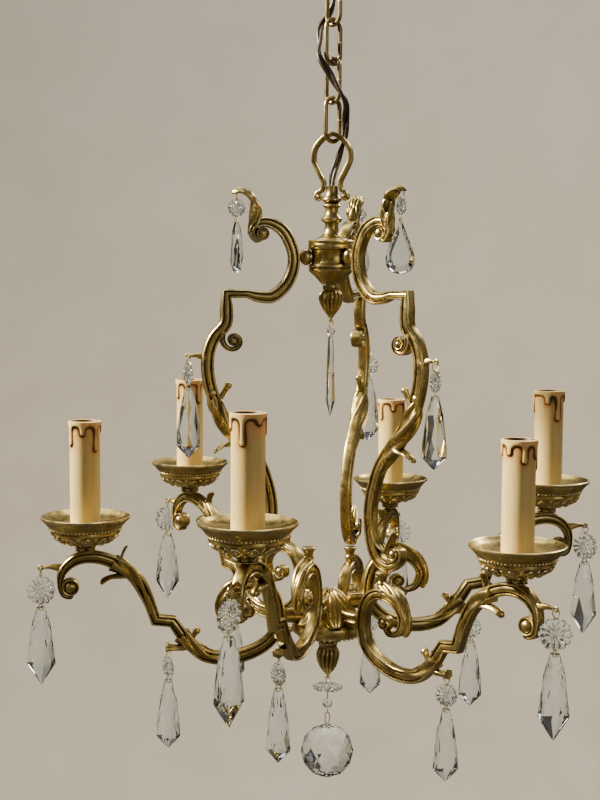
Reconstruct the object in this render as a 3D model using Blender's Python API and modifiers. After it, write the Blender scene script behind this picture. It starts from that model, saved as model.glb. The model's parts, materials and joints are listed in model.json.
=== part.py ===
"""Six-light cage chandelier hung on a chain, with cut-glass drops.

The origin is the middle of the ceiling rose's flat top, +Z is up, and +Y is the side of lower arm 1.
Azimuths turn from +Y toward +X. Heights in the cage are measured from the hub's base, HUB_DROP
below the ceiling. A casting is drawn in its own upright plane: x is the distance from the axis,
z the height above the hub's base, and y the thickness.
"""

import math

import bmesh
import bpy
from mathutils import Matrix, Vector

# Driving dimensions, in metres
HUB_DROP = 0.290  # from the ceiling to the hub's base
ARM_SPREAD = 0.211  # from the axis to the middle of a lower candle
UPPER_RISE = 0.022  # the upper arms are the same casting, set higher and closer in
UPPER_INSET = 0.009
ARM_COUNT = 6
CASTING_HALF = 0.0045  # half the thickness of an arm or a cage bar
GAP = 0.0003  # between pieces that touch

LINK_LENGTH = 0.041
LINK_WIDTH = 0.020
LINK_WIRE = 0.004
LINK_COUNT = 4
LINK_AZIMUTHS = (120, 30)  # the links' planes, from the top link down, by turns
BAIL_CREST = 0.1287  # middle of the strap at the top of the bail
BAIL_STRAP_HALF = 0.002
LINK_REACH = (LINK_LENGTH - LINK_WIRE) / 2  # from a link's middle to its end wire's middle
LINK_PITCH = 2 * LINK_REACH - LINK_WIRE - GAP
BAIL_SEAT = 0.0026  # the link's round end touches the flat strap at its edges
LOWEST_LINK = BAIL_CREST - BAIL_STRAP_HALF - BAIL_SEAT - LINK_WIRE / 2 + LINK_REACH

ROSE_RADIUS = 0.042
ROSE_CLEARANCE = 0.0075  # from the middle of the top link's end wire up to the rose

FLEX_RADIUS = 0.0032
FLEX_OFFSET = 0.0112  # from the chain's axis to the middle of the flex, beside a link
FLEX_BULGE = 0.0030  # more where it crosses from one link to the next
FLEX_START = 345  # azimuth beside the top link

PAN_RIM = -0.196  # height of a lower drip pan's rim
PAN_FOOT = -0.0295  # the pan's underside, from its rim
SLEEVE_RADIUS = 0.013
SLEEVE_BORE = 0.0112
SLEEVE_TOP = 0.081  # above the pan's rim
PAN_FLOOR = -0.0058
SOCKET_TOP = 0.055
SOCKET_RADIUS = 0.010

HOOK_WIRE = 0.0007
HOOK_HALF = 0.0040  # half the length of the wire that lies in the hole
HOOK_DROP = 0.006  # from the hole down to the rosette
HOLE_RADIUS = 0.0012
EAR_HALF = 0.002  # half the thickness of metal around a hole

# Holes that the drops hang from, as distance from the axis and height
ARM_END_HOLE = (0.2485, -0.239)
ARM_NUB_HOLE = (0.141, -0.3135)
BAR_TOP_HOLE = (0.0825, 0.078)
BAR_SIDE_HOLE = (0.1235, -0.061)
HUB_TIP = -0.031
FINIAL_TIP = -0.345

# A section's corners, as shares of its half height and half thickness
BAND = ((1, 0.9), (1, -0.9), (-1, -0.9), (-1, 0.9))
GEM = ((1, 0), (0, -1), (-1, 0), (0, 1))
ROUND = tuple((math.cos(math.radians(a)), math.sin(math.radians(a))) for a in range(0, 360, 45))


def clear_scene():
    for item in list(bpy.data.objects):
        bpy.data.objects.remove(item, do_unlink=True)


def collection(name):
    made = bpy.data.collections.new(name)
    bpy.context.scene.collection.children.link(made)
    return made


def material(name, colour, roughness, metallic=0.0, transmission=0.0):
    made = bpy.data.materials.new(name)
    made.use_nodes = True
    shader = made.node_tree.nodes["Principled BSDF"]
    shader.inputs["Base Color"].default_value = (*colour, 1)
    shader.inputs["Roughness"].default_value = roughness
    shader.inputs["Metallic"].default_value = metallic
    shader.inputs["Transmission Weight"].default_value = transmission
    return made


def placed(name, data, look, group, matrix=None):
    """An object in the group, with one material and its own place."""
    item = bpy.data.objects.new(name, data)
    group.objects.link(item)
    item.matrix_world = matrix or Matrix()
    if look and not data.materials:
        data.materials.append(look)
    return item


def at_height(height):
    return Matrix.Translation((0, 0, height - HUB_DROP))


def spoke(azimuth, lift=0.0, inset=0.0):
    """The place of a casting: its x axis points outward at the azimuth."""
    turn = Matrix.Rotation(math.radians(90 - azimuth), 4, "Z")
    return at_height(lift) @ turn @ Matrix.Translation((-inset, 0, 0))


def arm_places():
    """Azimuth, lift and inset of each arm; lower and upper arms take turns."""
    for i in range(ARM_COUNT):
        upper = i % 2
        yield 360 / ARM_COUNT * i, upper * UPPER_RISE, upper * UPPER_INSET


# Shapes


def between(p, q, r, s, t):
    """The Catmull-Rom value a share t of the way from q to r, where p comes before and s after."""
    square = 2 * p - 5 * q + 4 * r - s
    cube = 3 * q - p - 3 * r + s
    return 0.5 * (2 * q + (r - p) * t + square * t**2 + cube * t**3)


def smooth(points, steps):
    """Points of a Catmull-Rom curve through the given ones, with all their values."""
    line = [points[0], *points, points[-1]]
    out = []
    for corners in zip(line, line[1:], line[2:], line[3:]):
        for k in range(steps):
            out.append(tuple(between(*values, k / steps) for values in zip(*corners)))
    return [*out, points[-1]]


def ribbon(bm, stations, section=BAND):
    """A bar along (x, z, half height, half thickness) stations in the y = 0 plane."""
    places = [Vector(station[:2]) for station in stations]
    ways = [(b - a).normalized() for a, b in zip(places, places[1:])]
    ways = [ways[0], *ways, ways[-1]]
    rings = []
    for (x, z, high, thick), way_in, way_out in zip(stations, ways, ways[1:]):
        along = (way_in + way_out).normalized()
        mitre = 1 / max(along.dot(way_in), 0.6)
        side = Vector((-along.y, along.x)) * high * mitre
        rings.append([bm.verts.new((x + side.x * h, t * thick, z + side.y * h)) for h, t in section])
    count = len(section)
    for low, top in zip(rings, rings[1:]):
        for k in range(count):
            bm.faces.new((low[k], low[(k + 1) % count], top[(k + 1) % count], top[k]))
    bm.faces.new(reversed(rings[0]))
    bm.faces.new(rings[-1])


def ball(bm, x, z, radius, flat=1.0):
    place = Matrix.Translation((x, 0, z)) @ Matrix.Diagonal((1, flat, 1, 1))
    bmesh.ops.create_icosphere(bm, subdivisions=1, radius=radius, matrix=place)


def peg(bm, x, z, radius, length, segments=6):
    """A cylinder across the casting."""
    place = Matrix.Translation((x, 0, z)) @ Matrix.Rotation(math.pi / 2, 4, "X")
    bmesh.ops.create_cone(
        bm, cap_ends=True, segments=segments, radius1=radius, radius2=radius, depth=length, matrix=place
    )


def mesh_of(bm, name):
    bmesh.ops.recalc_face_normals(bm, faces=bm.faces)
    data = bpy.data.meshes.new(name)
    bm.to_mesh(data)
    bm.free()
    return data


def shape(name, *steps):
    """A mesh made by functions that each add to it."""
    bm = bmesh.new()
    for step in steps:
        step(bm)
    return mesh_of(bm, name)


def joined(name, body, added, holes=None):
    """The body's mesh with the added shapes joined on and the holes cut."""
    scene = bpy.context.scene.collection
    items = [bpy.data.objects.new(name, data) for data in (body, added, holes) if data]
    for item in items:
        scene.objects.link(item)
    for item, operation in zip(items[1:], ("UNION", "DIFFERENCE")):
        cut = items[0].modifiers.new(operation, "BOOLEAN")
        cut.operation = operation
        cut.object = item
    evaluated = items[0].evaluated_get(bpy.context.evaluated_depsgraph_get())
    data = bpy.data.meshes.new_from_object(evaluated)
    data.name = name
    for item in items:
        bpy.data.objects.remove(item, do_unlink=True)
    return data


def turned(name, profile, steps):
    """A closed turned mesh: the profile is (radius, z) from the top down its outer side."""
    bm = bmesh.new()
    points = [bm.verts.new((radius, 0, z)) for radius, z in profile]
    ends_on_axis = profile[0][0] == 0 and profile[-1][0] == 0
    for a, b in zip(points, points[1:] if ends_on_axis else points[1:] + points[:1]):
        bm.edges.new((a, b))
    data = bpy.data.meshes.new(name)
    bm.to_mesh(data)
    bm.free()
    item = bpy.data.objects.new(name, data)
    bpy.context.scene.collection.objects.link(item)
    screw = item.modifiers.new("turn", "SCREW")
    screw.steps = screw.render_steps = steps
    screw.use_merge_vertices = True
    screw.merge_threshold = 0.00001
    evaluated = item.evaluated_get(bpy.context.evaluated_depsgraph_get())
    made = bpy.data.meshes.new_from_object(evaluated)
    made.name = name
    bpy.data.objects.remove(item, do_unlink=True)
    return made


def tube(name, points, radius, cyclic=False):
    """A curve with a round bevel through the points."""
    data = bpy.data.curves.new(name, "CURVE")
    data.dimensions = "3D"
    data.bevel_depth = radius
    data.bevel_resolution = 2
    data.use_fill_caps = True
    spline = data.splines.new("POLY")
    spline.points.add(len(points) - 1)
    for point, place in zip(spline.points, points):
        point.co = (*place, 1)
    spline.use_cyclic_u = cyclic
    return data


# Chain, ceiling rose and flex


def link_line(corners=6):
    """The middle line of a link in the x-z plane, around (0, 0, 0)."""
    radius = (LINK_WIDTH - LINK_WIRE) / 2
    straight = LINK_REACH - radius
    points = []
    for end, start in ((1, 0), (-1, 180)):
        for k in range(corners + 1):
            angle = math.radians(start + 180 * k / corners)
            points.append((radius * math.cos(angle), 0, end * straight + radius * math.sin(angle)))
    return points


def chain_heights():
    """Heights of the links' middles, from the top link down."""
    return [LOWEST_LINK + LINK_PITCH * k for k in reversed(range(LINK_COUNT))]


def make_chain(look, group):
    """Each link's origin is the middle of the wire that it hangs on."""
    to_hinge = LINK_REACH - LINK_WIRE - GAP
    for i, height in enumerate(chain_heights()):
        line = [(x, y, z - to_hinge) for x, y, z in link_line()]
        data = tube(f"chain_link_{i + 1}", line, LINK_WIRE / 2, cyclic=True)
        place = spoke(LINK_AZIMUTHS[i % 2], height + to_hinge)
        placed(f"chain_link_{i + 1}", data, look, group, place)


def make_eye(middle, radius, azimuth):
    """A closed wire ring in the upright plane at the azimuth."""
    turn = Matrix.Rotation(math.radians(90 - azimuth), 4, "Z")
    bpy.ops.mesh.primitive_torus_add(
        major_segments=14, minor_segments=6, major_radius=radius, minor_radius=LINK_WIRE / 2
    )
    item = bpy.context.object
    data = item.data
    bpy.data.objects.remove(item, do_unlink=True)
    data.transform(turn @ Matrix.Translation((0, 0, middle)) @ Matrix.Rotation(math.pi / 2, 4, "X"))
    return data


def make_rose(look, group):
    """The ceiling cover with the eye that the top link hangs on."""
    top_link_crest = chain_heights()[0] + LINK_REACH
    low = top_link_crest + ROSE_CLEARANCE
    radius = (LINK_WIDTH - LINK_WIRE) / 2
    eye = make_eye(top_link_crest - LINK_WIRE - GAP + radius, radius, LINK_AZIMUTHS[1])
    profile = [
        (0, HUB_DROP),
        (ROSE_RADIUS, HUB_DROP),
        (ROSE_RADIUS, HUB_DROP - 0.004),
        (0.038, HUB_DROP - 0.007),
        (0.030, HUB_DROP - 0.016),
        (0.016, low + 0.001),
        (0.012, low),
        (0, low),
    ]
    data = joined("ceiling_rose", turned("rose_body", profile, 18), eye, shape("flex_way", flex_way))
    placed("ceiling_rose", data, look, group, at_height(0))


def flex_way(bm):
    """The hole in the rose that the flex leaves by."""
    x, y, _ = flex_line()[0]
    low = chain_heights()[0] + LINK_REACH
    place = Matrix.Translation((x, y, low + 0.010))
    bmesh.ops.create_cone(
        bm, cap_ends=True, segments=12, radius1=0.0042, radius2=0.0042, depth=0.0195, matrix=place
    )


def ease(t):
    t = min(max(t, 0), 1)
    return t * t * t * (t * (6 * t - 15) + 10)


def flex_line():
    """The flex winds a quarter turn past each link, then drops into the neck."""
    points = []
    heights = chain_heights()
    top = heights[0] + LINK_REACH + 0.012
    low = LOWEST_LINK - 0.006
    rows = 34
    for k in range(rows + 1):
        z = top + (low - top) * k / rows
        crossings = [(middle - 0.0105 - z) / (LINK_PITCH - 0.021) for middle in heights[:-1]]
        azimuth = math.radians(FLEX_START - 90 * sum(ease(t) for t in crossings))
        bulge = sum(math.sin(math.pi * min(max(t, 0), 1)) ** 2 for t in crossings)
        offset = FLEX_OFFSET + FLEX_BULGE * bulge
        points.append((offset * math.sin(azimuth), offset * math.cos(azimuth), z))
    tail = [points[-1], (0.0088, 0.0078, 0.126), (0.0050, 0.0058, 0.112), (0.0008, 0.0012, 0.096)]
    tail += [(0, 0, 0.086), (0, 0, 0.075), (0, 0, 0.066)]
    return points + smooth(tail, 2)[1:]


def make_flex(look, group):
    placed("flex", tube("flex", flex_line(), FLEX_RADIUS), look, group, at_height(0))


# Hub


def make_bail(look, group):
    """A pear-shaped strap whose feet curl out beside the neck."""
    thin, half = BAIL_STRAP_HALF, 0.0030
    side = [
        (0.0122, 0.0745, 0.0012, half),
        (0.0118, 0.0785, 0.0014, half),
        (0.0078, 0.0815, 0.0017, half),
        (0.0076, 0.0880, thin, half),
        (0.0120, 0.0970, thin, half),
        (0.0165, 0.1080, thin, half),
        (0.0130, 0.1200, thin, half),
    ]
    other = [(-x, z, high, thick) for x, z, high, thick in reversed(side)]
    line = smooth([*side, (0, BAIL_CREST, thin, half), *other], 2)
    placed("bail", shape("bail", lambda bm: ribbon(bm, line)), look, group, spoke(90))


def make_neck(look, group):
    profile = [
        (0.0050, 0.0845),
        (0.0054, 0.0760),
        (0.0082, 0.0730),
        (0.0070, 0.0670),
        (0.0055, 0.0620),
        (0.0056, 0.0585),
        (0.0090, 0.0560),
        (0.0062, 0.0520),
        (0.0058, 0.0480),
        (0.0080, 0.0430),
        (0.0143, 0.0385 + GAP),
        (0.0051, 0.0385 + GAP),
        (0.0051, 0.0500),
        (0.0036, 0.0620),
        (0.0036, 0.0845),
    ]
    placed("hub_neck", turned("hub_neck", profile, 12), look, group, at_height(0))


def make_cup(look, group):
    """The collar, its three bosses for the cage bars and the cup below it."""
    profile = [
        (0.0051, 0.0385),
        (0.0200, 0.0380),
        (0.0200, 0.0300),
        (0.0170, 0.0290),
        (0.0170, 0.0180),
        (0.0195, 0.0165),
        (0.0195, 0.0115),
        (0.0120, 0.0040),
        (0.0075, 0),
        (0.0051, 0),
    ]
    turn = [Matrix.Rotation(math.radians(90 - azimuth), 4, "Z") for azimuth in (0, 120, 240)]
    bm = bmesh.new()
    for matrix in turn:
        place = matrix @ Matrix.Translation((0.0216, 0, 0.0236)) @ Matrix.Diagonal((0.8, 0.7, 1, 1))
        bmesh.ops.create_uvsphere(bm, u_segments=8, v_segments=5, radius=0.0076, matrix=place)
    data = joined("hub_cup", turned("cup_body", profile, 18), mesh_of(bm, "bosses"))
    placed("hub_cup", data, look, group, at_height(0))


def make_tube(look, group):
    profile = [(0.0031, 0.0495), (0.0048, 0.0495), (0.0048, -0.0095), (0.0031, -0.0095)]
    placed("hub_tube", turned("hub_tube", profile, 12), look, group, at_height(0))


def tip_eye(height, drop):
    """A small pierced ear below a turned tip: the steps that add it and its hole."""

    def ear(bm):
        ribbon(bm, [(0, height + drop, 0.0018, EAR_HALF), (0, height - 0.0024, 0.0018, EAR_HALF)])

    def hole(bm):
        peg(bm, 0, height, HOLE_RADIUS, 0.010)

    return ear, hole


def make_hub_finial(look, group):
    profile = [
        (0.0051, -GAP),
        (0.0073, -GAP),
        (0.0073, -0.0040),
        (0.0095, -0.0070),
        (0.0108, -0.0110),
        (0.0090, -0.0170),
        (0.0050, -0.0240),
        (0.0025, -0.0270),
        (0, -0.0280),
        (0, -0.0105),
        (0.0051, -0.0105),
    ]
    ear, hole = tip_eye(HUB_TIP, 0.006)
    body = turned("finial_body", profile, 12)
    data = joined("hub_finial", body, shape("ear", ear), shape("hole", hole))
    placed("hub_finial", data, look, group, spoke(0))


# Cage bars and arms


def make_bars(look, group):
    thick = CASTING_HALF
    upper = smooth(
        [
            (0.0600, 0.0390, 0.0012, thick),
            (0.0655, 0.0370, 0.0018, thick),
            (0.0700, 0.0440, 0.0025, thick),
            (0.0655, 0.0515, 0.0035, thick),
            (0.0540, 0.0525, 0.0045, thick),
            (0.0410, 0.0440, 0.0050, thick),
            (0.0330, 0.0240, 0.0050, thick),
            (0.0370, 0.0040, 0.0052, thick),
            (0.0500, -0.0095, 0.0055, thick),
            (0.0630, -0.0105, 0.0050, thick),
            (0.0730, -0.0080, 0.0036, thick),
        ],
        2,
    )
    shelf = [(0.0910, -0.0080, 0.0038, thick)]
    lower = smooth(
        [
            (0.0910, -0.0200, 0.0055, thick),
            (0.0920, -0.0340, 0.0055, thick),
            (0.1020, -0.0460, 0.0052, thick),
            (0.1070, -0.0620, 0.0055, thick),
            (0.1060, -0.0820, 0.0055, thick),
            (0.0980, -0.1060, 0.0055, thick),
            (0.0800, -0.1300, 0.0055, thick),
            (0.0620, -0.1530, 0.0053, thick),
            (0.0520, -0.1850, 0.0053, thick),
            (0.0530, -0.2120, 0.0053, thick),
            (0.0600, -0.2280, 0.0052, thick),
            (0.0720, -0.2350, 0.0048, thick),
            (0.0850, -0.2300, 0.0035, thick),
            (0.0880, -0.2210, 0.0022, thick),
            (0.0830, -0.2180, 0.0012, thick),
        ],
        2,
    )
    top_x, top_z = BAR_TOP_HOLE
    side_x, side_z = BAR_SIDE_HOLE

    def details(bm):
        ball(bm, 0.0600, 0.0435, 0.0055, 1.1)
        ball(bm, 0.0810, -0.2215, 0.0050, 1.1)
        peg(bm, 0.0850, -0.0480, 0.0095, 0.0096, 12)
        ribbon(bm, [(0.104, -0.098, 0.003, thick), (0.0885, -0.086, 0.0022, 0.003)])
        ribbon(bm, [(0.080, -0.131, 0.004, thick), (0.1010, -0.1410, 0.0015, 0.002)])
        leaf = [(0.0690, 0.0430, 0.0030, 0.004), (0.0655, 0.0580, 0.0040, 0.004)]
        leaf += [(0.0680, 0.0710, 0.0036, 0.003), (0.0750, top_z, 0.0026, EAR_HALF)]
        leaf += [(top_x, top_z, 0.0024, EAR_HALF)]
        ribbon(bm, [*leaf, (top_x + 0.0024, top_z + 0.0004, 0.0015, EAR_HALF)])
        ribbon(bm, [(0.108, side_z, 0.0028, 0.003), (side_x + 0.0024, side_z, 0.0022, EAR_HALF)])

    def holes(bm):
        peg(bm, top_x, top_z, HOLE_RADIUS, 0.010)
        peg(bm, side_x, side_z, HOLE_RADIUS, 0.010)

    body = shape("bar_body", lambda bm: ribbon(bm, upper + shelf + lower))
    data = joined("cage_bar", body, shape("bar_details", details), shape("bar_holes", holes))
    for i, azimuth in enumerate((0, 120, 240)):
        placed(f"cage_bar_{i + 1}", data, look, group, spoke(azimuth))


def make_arms(look, group):
    thick = CASTING_HALF
    outer = smooth(
        [
            (0.2220, -0.2590, 0.0010, thick),
            (0.2235, -0.2645, 0.0015, thick),
            (0.2300, -0.2625, 0.0020, thick),
            (0.2325, -0.2540, 0.0025, thick),
            (0.2305, -0.2430, 0.0038, thick),
            (0.2225, -0.2345, 0.0048, thick),
            (0.2110, -0.2310, 0.0052, thick),
            (0.1970, -0.2325, 0.0054, thick),
            (0.1810, -0.2400, 0.0055, thick),
            (0.1670, -0.2530, 0.0055, thick),
            (0.1580, -0.2700, 0.0050, thick),
        ],
        2,
    )
    step = [(0.1520, -0.2875, 0.0048, thick), (0.1375, -0.2895, 0.0048, thick)]
    inner = smooth(
        [
            (0.1270, -0.3050, 0.0055, thick),
            (0.1100, -0.3200, 0.0058, thick),
            (0.0860, -0.3235, 0.0060, thick),
            (0.0620, -0.3165, 0.0058, thick),
            (0.0480, -0.3040, 0.0055, thick),
            (0.0445, -0.2880, 0.0055, thick),
            (0.0485, -0.2710, 0.0053, thick),
            (0.0580, -0.2615, 0.0050, thick),
            (0.0720, -0.2595, 0.0050, thick),
            (0.0860, -0.2650, 0.0048, thick),
            (0.0930, -0.2770, 0.0040, thick),
            (0.0880, -0.2885, 0.0028, thick),
            (0.0780, -0.2915, 0.0018, thick),
            (0.0725, -0.2870, 0.0010, thick),
        ],
        2,
    )
    seat = [
        (0.0665, -0.2600, 0.0035, 0.0035),
        (0.0665, -0.2535, 0.0035, 0.0035),
        (0.0665, -0.2505, 0.0062, 0.0062),
        (0.0665, -0.2440, 0.0062, 0.0062),
        (0.0665, -0.2405, 0.0035, 0.0035),
    ]
    end_x, end_z = ARM_END_HOLE
    nub_x, nub_z = ARM_NUB_HOLE

    def details(bm):
        ball(bm, 0.2240, -0.2560, 0.0074)
        ball(bm, 0.0715, -0.2830, 0.0055, 1.1)
        ribbon(bm, seat)
        ribbon(bm, [(0.0765, -0.2600, 0.0045, 0.004), (0.0765, -0.2450, 0.0032, 0.004)])
        ribbon(bm, [(0.1790, -0.2390, 0.004, 0.004), (0.1810, -0.2210, 0.0018, 0.002)])
        ribbon(bm, [(0.1800, -0.2440, 0.003, 0.004), (0.1965, -0.2480, 0.0015, 0.002)])
        ribbon(bm, [(0.1210, -0.3110, 0.004, 0.004), (0.1160, -0.2980, 0.0016, 0.002)])
        nub = [(0.1330, -0.2980, 0.0040, 0.004), (nub_x - 0.0030, nub_z + 0.0050, 0.0032, EAR_HALF)]
        ribbon(bm, [*nub, (nub_x + 0.0005, nub_z - 0.0027, 0.0020, EAR_HALF)])
        ribbon(bm, [(0.2290, end_z - 0.002, 0.0024, 0.003), (end_x + 0.0024, end_z, 0.0022, EAR_HALF)])

    def holes(bm):
        peg(bm, nub_x, nub_z, HOLE_RADIUS, 0.010)
        peg(bm, end_x, end_z, HOLE_RADIUS, 0.010)

    body = shape("arm_body", lambda bm: ribbon(bm, outer + step + inner))
    data = joined("arm", body, shape("arm_details", details), shape("arm_holes", holes))
    for i, place in enumerate(arm_places()):
        placed(f"arm_{i + 1}", data, look, group, spoke(*place))


# Dish and bottom finial


def make_dish(look, group):
    """The boss that all six arms are screwed to."""
    profile = [
        (0.0051, -0.2700),
        (0.0130, -0.2700),
        (0.0240, -0.2740),
        (0.0260, -0.2940),
        (0.0320, -0.2965),
        (0.0320, -0.3035),
        (0.0260, -0.3065),
        (0.0130, -0.3100),
        (0.0090, -0.3135),
        (0.0051, -0.3135),
    ]

    def lugs(bm):
        hub_side = 0.0390 - GAP
        for azimuth, lift, inset in arm_places():
            reach, low, high = hub_side - inset, -0.2950 + lift * 0.5, -0.2810 + lift * 0.5
            size = (reach - 0.018, 0.011, high - low)
            turn = Matrix.Rotation(math.radians(90 - azimuth), 4, "Z")
            place = turn @ Matrix.Translation(((reach + 0.018) / 2, 0, (low + high) / 2))
            bmesh.ops.create_cube(bm, size=1, matrix=place @ Matrix.Diagonal((*size, 1)))

    data = joined("dish", turned("dish_body", profile, 18), shape("lugs", lugs))
    placed("dish", data, look, group, at_height(0))


def make_bottom_finial(look, group):
    """The acorn below the dish, with the stud that clamps the dish."""
    profile = [
        (0, -0.2720),
        (0.0048, -0.2720),
        (0.0048, -0.3135 - GAP),
        (0.0085, -0.3135 - GAP),
        (0.0080, -0.3175),
        (0.0104, -0.3250),
        (0.0085, -0.3330),
        (0.0045, -0.3400),
        (0.0025, -0.3425),
        (0, -0.3430),
    ]
    ear, hole = tip_eye(FINIAL_TIP, 0.006)
    body = turned("acorn", profile, 12)
    data = joined("bottom_finial", body, shape("ear", ear), shape("hole", hole))
    placed("bottom_finial", data, look, group, spoke(0))


# Lights


def light_place(azimuth, lift, inset):
    """The middle of a drip pan's rim."""
    return spoke(azimuth, lift + PAN_RIM, inset) @ Matrix.Translation((ARM_SPREAD, 0, 0))


def make_lights(looks, group):
    pan = [
        (0.0375, 0.0005),
        (0.0375, -0.0020),
        (0.0330, -0.0075),
        (0.0285, -0.0120),
        (0.0285, -0.0170),
        (0.0215, -0.0190),
        (0.0195, -0.0235),
        (0.0100, -0.0275),
        (0.0085, PAN_FOOT),
        (0.0049, PAN_FOOT),
        (0.0049, PAN_FLOOR - GAP),
        (0.0160, PAN_FLOOR - GAP),
        (0.0310, -0.0035),
    ]
    sleeve = [
        (SLEEVE_BORE, SLEEVE_TOP),
        (SLEEVE_RADIUS, SLEEVE_TOP),
        (SLEEVE_RADIUS, PAN_FLOOR),
        (SLEEVE_BORE, PAN_FLOOR),
    ]
    socket = [
        (0, 0.028),
        (0.0072, 0.028),
        (0.0072, SOCKET_TOP),
        (SOCKET_RADIUS, SOCKET_TOP),
        (SOCKET_RADIUS, PAN_FLOOR),
        (0.0046, PAN_FLOOR),
        (0.0046, PAN_FOOT - 0.0001),
        (0, PAN_FOOT - 0.0001),
    ]
    meshes = [
        ("drip_pan", turned("drip_pan", pan, 16), looks[0]),
        ("candle_sleeve", turned("candle_sleeve", sleeve, 16), looks[1]),
        ("lampholder", turned("lampholder", socket, 12), looks[2]),
    ]
    for i, place in enumerate(arm_places()):
        for name, data, look in meshes:
            placed(f"{name}_{i + 1}", data, look, group, light_place(*place))


# Glass


def hook():
    """Stations of the bent wire, from its end through the hole and down to the glass."""
    wire = HOOK_WIRE
    line = [(HOOK_HALF, 0), (-HOOK_HALF + 0.0006, 0), (-HOOK_HALF, -0.0022), (-0.0014, -0.0048)]
    return [(x, z, wire, wire) for x, z in line]


def drop_stations(rosette, length, half_width):
    """A rosette above a kite-shaped drop, as (x, z, half thickness, half width)."""
    low = -HOOK_DROP - 2 * rosette
    top = low - 0.002
    return [
        *hook(),
        (0, -HOOK_DROP, 0.0010, 0.0015),
        (0, -HOOK_DROP - 0.35 * rosette, 0.0028, 0.80 * rosette),
        (0, -HOOK_DROP - rosette, 0.0038, rosette),
        (0, low + 0.35 * rosette, 0.0028, 0.80 * rosette),
        (0, low, 0.0010, 0.0015),
        (0, top, 0.0016, 0.0026),
        (0, top - 0.35 * length, 0.0042, 0.62 * half_width),
        (0, top - 0.74 * length, 0.0052, half_width),
        (0, top - length, 0.0010, 0.0012),
    ]


def spear_stations():
    beads = [(0, 0.0012), (0.003, 0.0045), (0.007, 0.0012)]
    beads += [(0.015, 0.0030), (0.031, 0.0044), (0.077, 0.0006)]
    return hook() + [(0, -HOOK_DROP - down, radius, radius) for down, radius in beads]


def ball_stations():
    """A flat rosette, a small bead and the big ball."""
    radius, middle = 0.0235, -0.0610
    beads = [(0, 0.0020), (0.0030, 0.0135), (0.0070, 0.0040)]
    beads += [(0.0120, 0.0014), (0.0180, 0.0046), (0.0250, 0.0014)]
    for k in range(9):
        angle = math.radians(-78 + 19.5 * k)
        beads.append((radius * math.sin(angle) - middle, radius * math.cos(angle)))
    return hook() + [(0, -HOOK_DROP - down, size, size) for down, size in beads]


def hanging(azimuth, hole, lift=0.0, inset=0.0):
    """The place of a hook: its wire lies along y in the hole, across the casting."""
    x, z = hole
    turn = Matrix.Rotation(math.pi / 2, 4, "Z")
    return spoke(azimuth, lift + z, inset) @ Matrix.Translation((x, 0, 0)) @ turn


def make_glass(look, group):
    def glass(name, stations, section=GEM):
        return shape(name, lambda bm: ribbon(bm, stations, section))

    end = glass("end_drop", drop_stations(0.0128, 0.066, 0.0120))
    nub = glass("nub_drop", drop_stations(0.0095, 0.060, 0.0105))
    side = glass("side_drop", drop_stations(0.0095, 0.060, 0.0100))
    top = glass("top_drop", drop_stations(0.0075, 0.046, 0.0120))
    for i, (azimuth, lift, inset) in enumerate(arm_places()):
        placed(f"end_drop_{i + 1}", end, look, group, hanging(azimuth, ARM_END_HOLE, lift, inset))
        placed(f"nub_drop_{i + 1}", nub, look, group, hanging(azimuth, ARM_NUB_HOLE, lift, inset))
    for i, azimuth in enumerate((0, 120, 240)):
        placed(f"side_drop_{i + 1}", side, look, group, hanging(azimuth, BAR_SIDE_HOLE))
        placed(f"top_drop_{i + 1}", top, look, group, hanging(azimuth, BAR_TOP_HOLE))
    spear = glass("spear_drop", spear_stations(), ROUND)
    placed("spear_drop", spear, look, group, hanging(0, (0, HUB_TIP)))
    ball_drop = glass("ball_drop", ball_stations(), ROUND)
    placed("ball_drop", ball_drop, look, group, hanging(0, (0, FINIAL_TIP)))


def main():
    clear_scene()
    group = collection("cage_chandelier")
    brass = material("antique_brass", (0.45, 0.33, 0.12), 0.35, 1.0)
    steel = material("zinc_steel", (0.55, 0.55, 0.53), 0.4, 1.0)
    glass = material("cut_glass", (0.95, 0.97, 0.96), 0.03, 0.0, 1.0)
    cream = material("cream_card", (0.85, 0.76, 0.55), 0.6)
    dark = material("dark_flex", (0.05, 0.035, 0.025), 0.55)
    black = material("black_moulding", (0.03, 0.03, 0.03), 0.4)
    make_rose(brass, group)
    make_chain(brass, group)
    make_flex(dark, group)
    make_bail(brass, group)
    make_neck(brass, group)
    make_cup(brass, group)
    make_tube(steel, group)
    make_hub_finial(brass, group)
    make_bars(brass, group)
    make_arms(brass, group)
    make_dish(brass, group)
    make_bottom_finial(brass, group)
    make_lights((brass, cream, black), group)
    make_glass(glass, group)


main()
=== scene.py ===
"""The looks of the six-light cage chandelier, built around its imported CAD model.

A casting is drawn in its own upright plane, as in the CAD: x is the distance from the axis, z the height
above the hub's base and y the thickness. Turned pieces are drawn about z. Glass is drawn hanging from
(0, 0, 0), with its face toward +y. Shapes are drawn in millimetres, and mesh_of brings them to metres;
only the studio and the dish's lugs are drawn in metres. Places and materials' distances are in metres.
"""

import json
import math
import random

import bmesh
import bpy
from mathutils import Matrix, Vector

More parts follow.
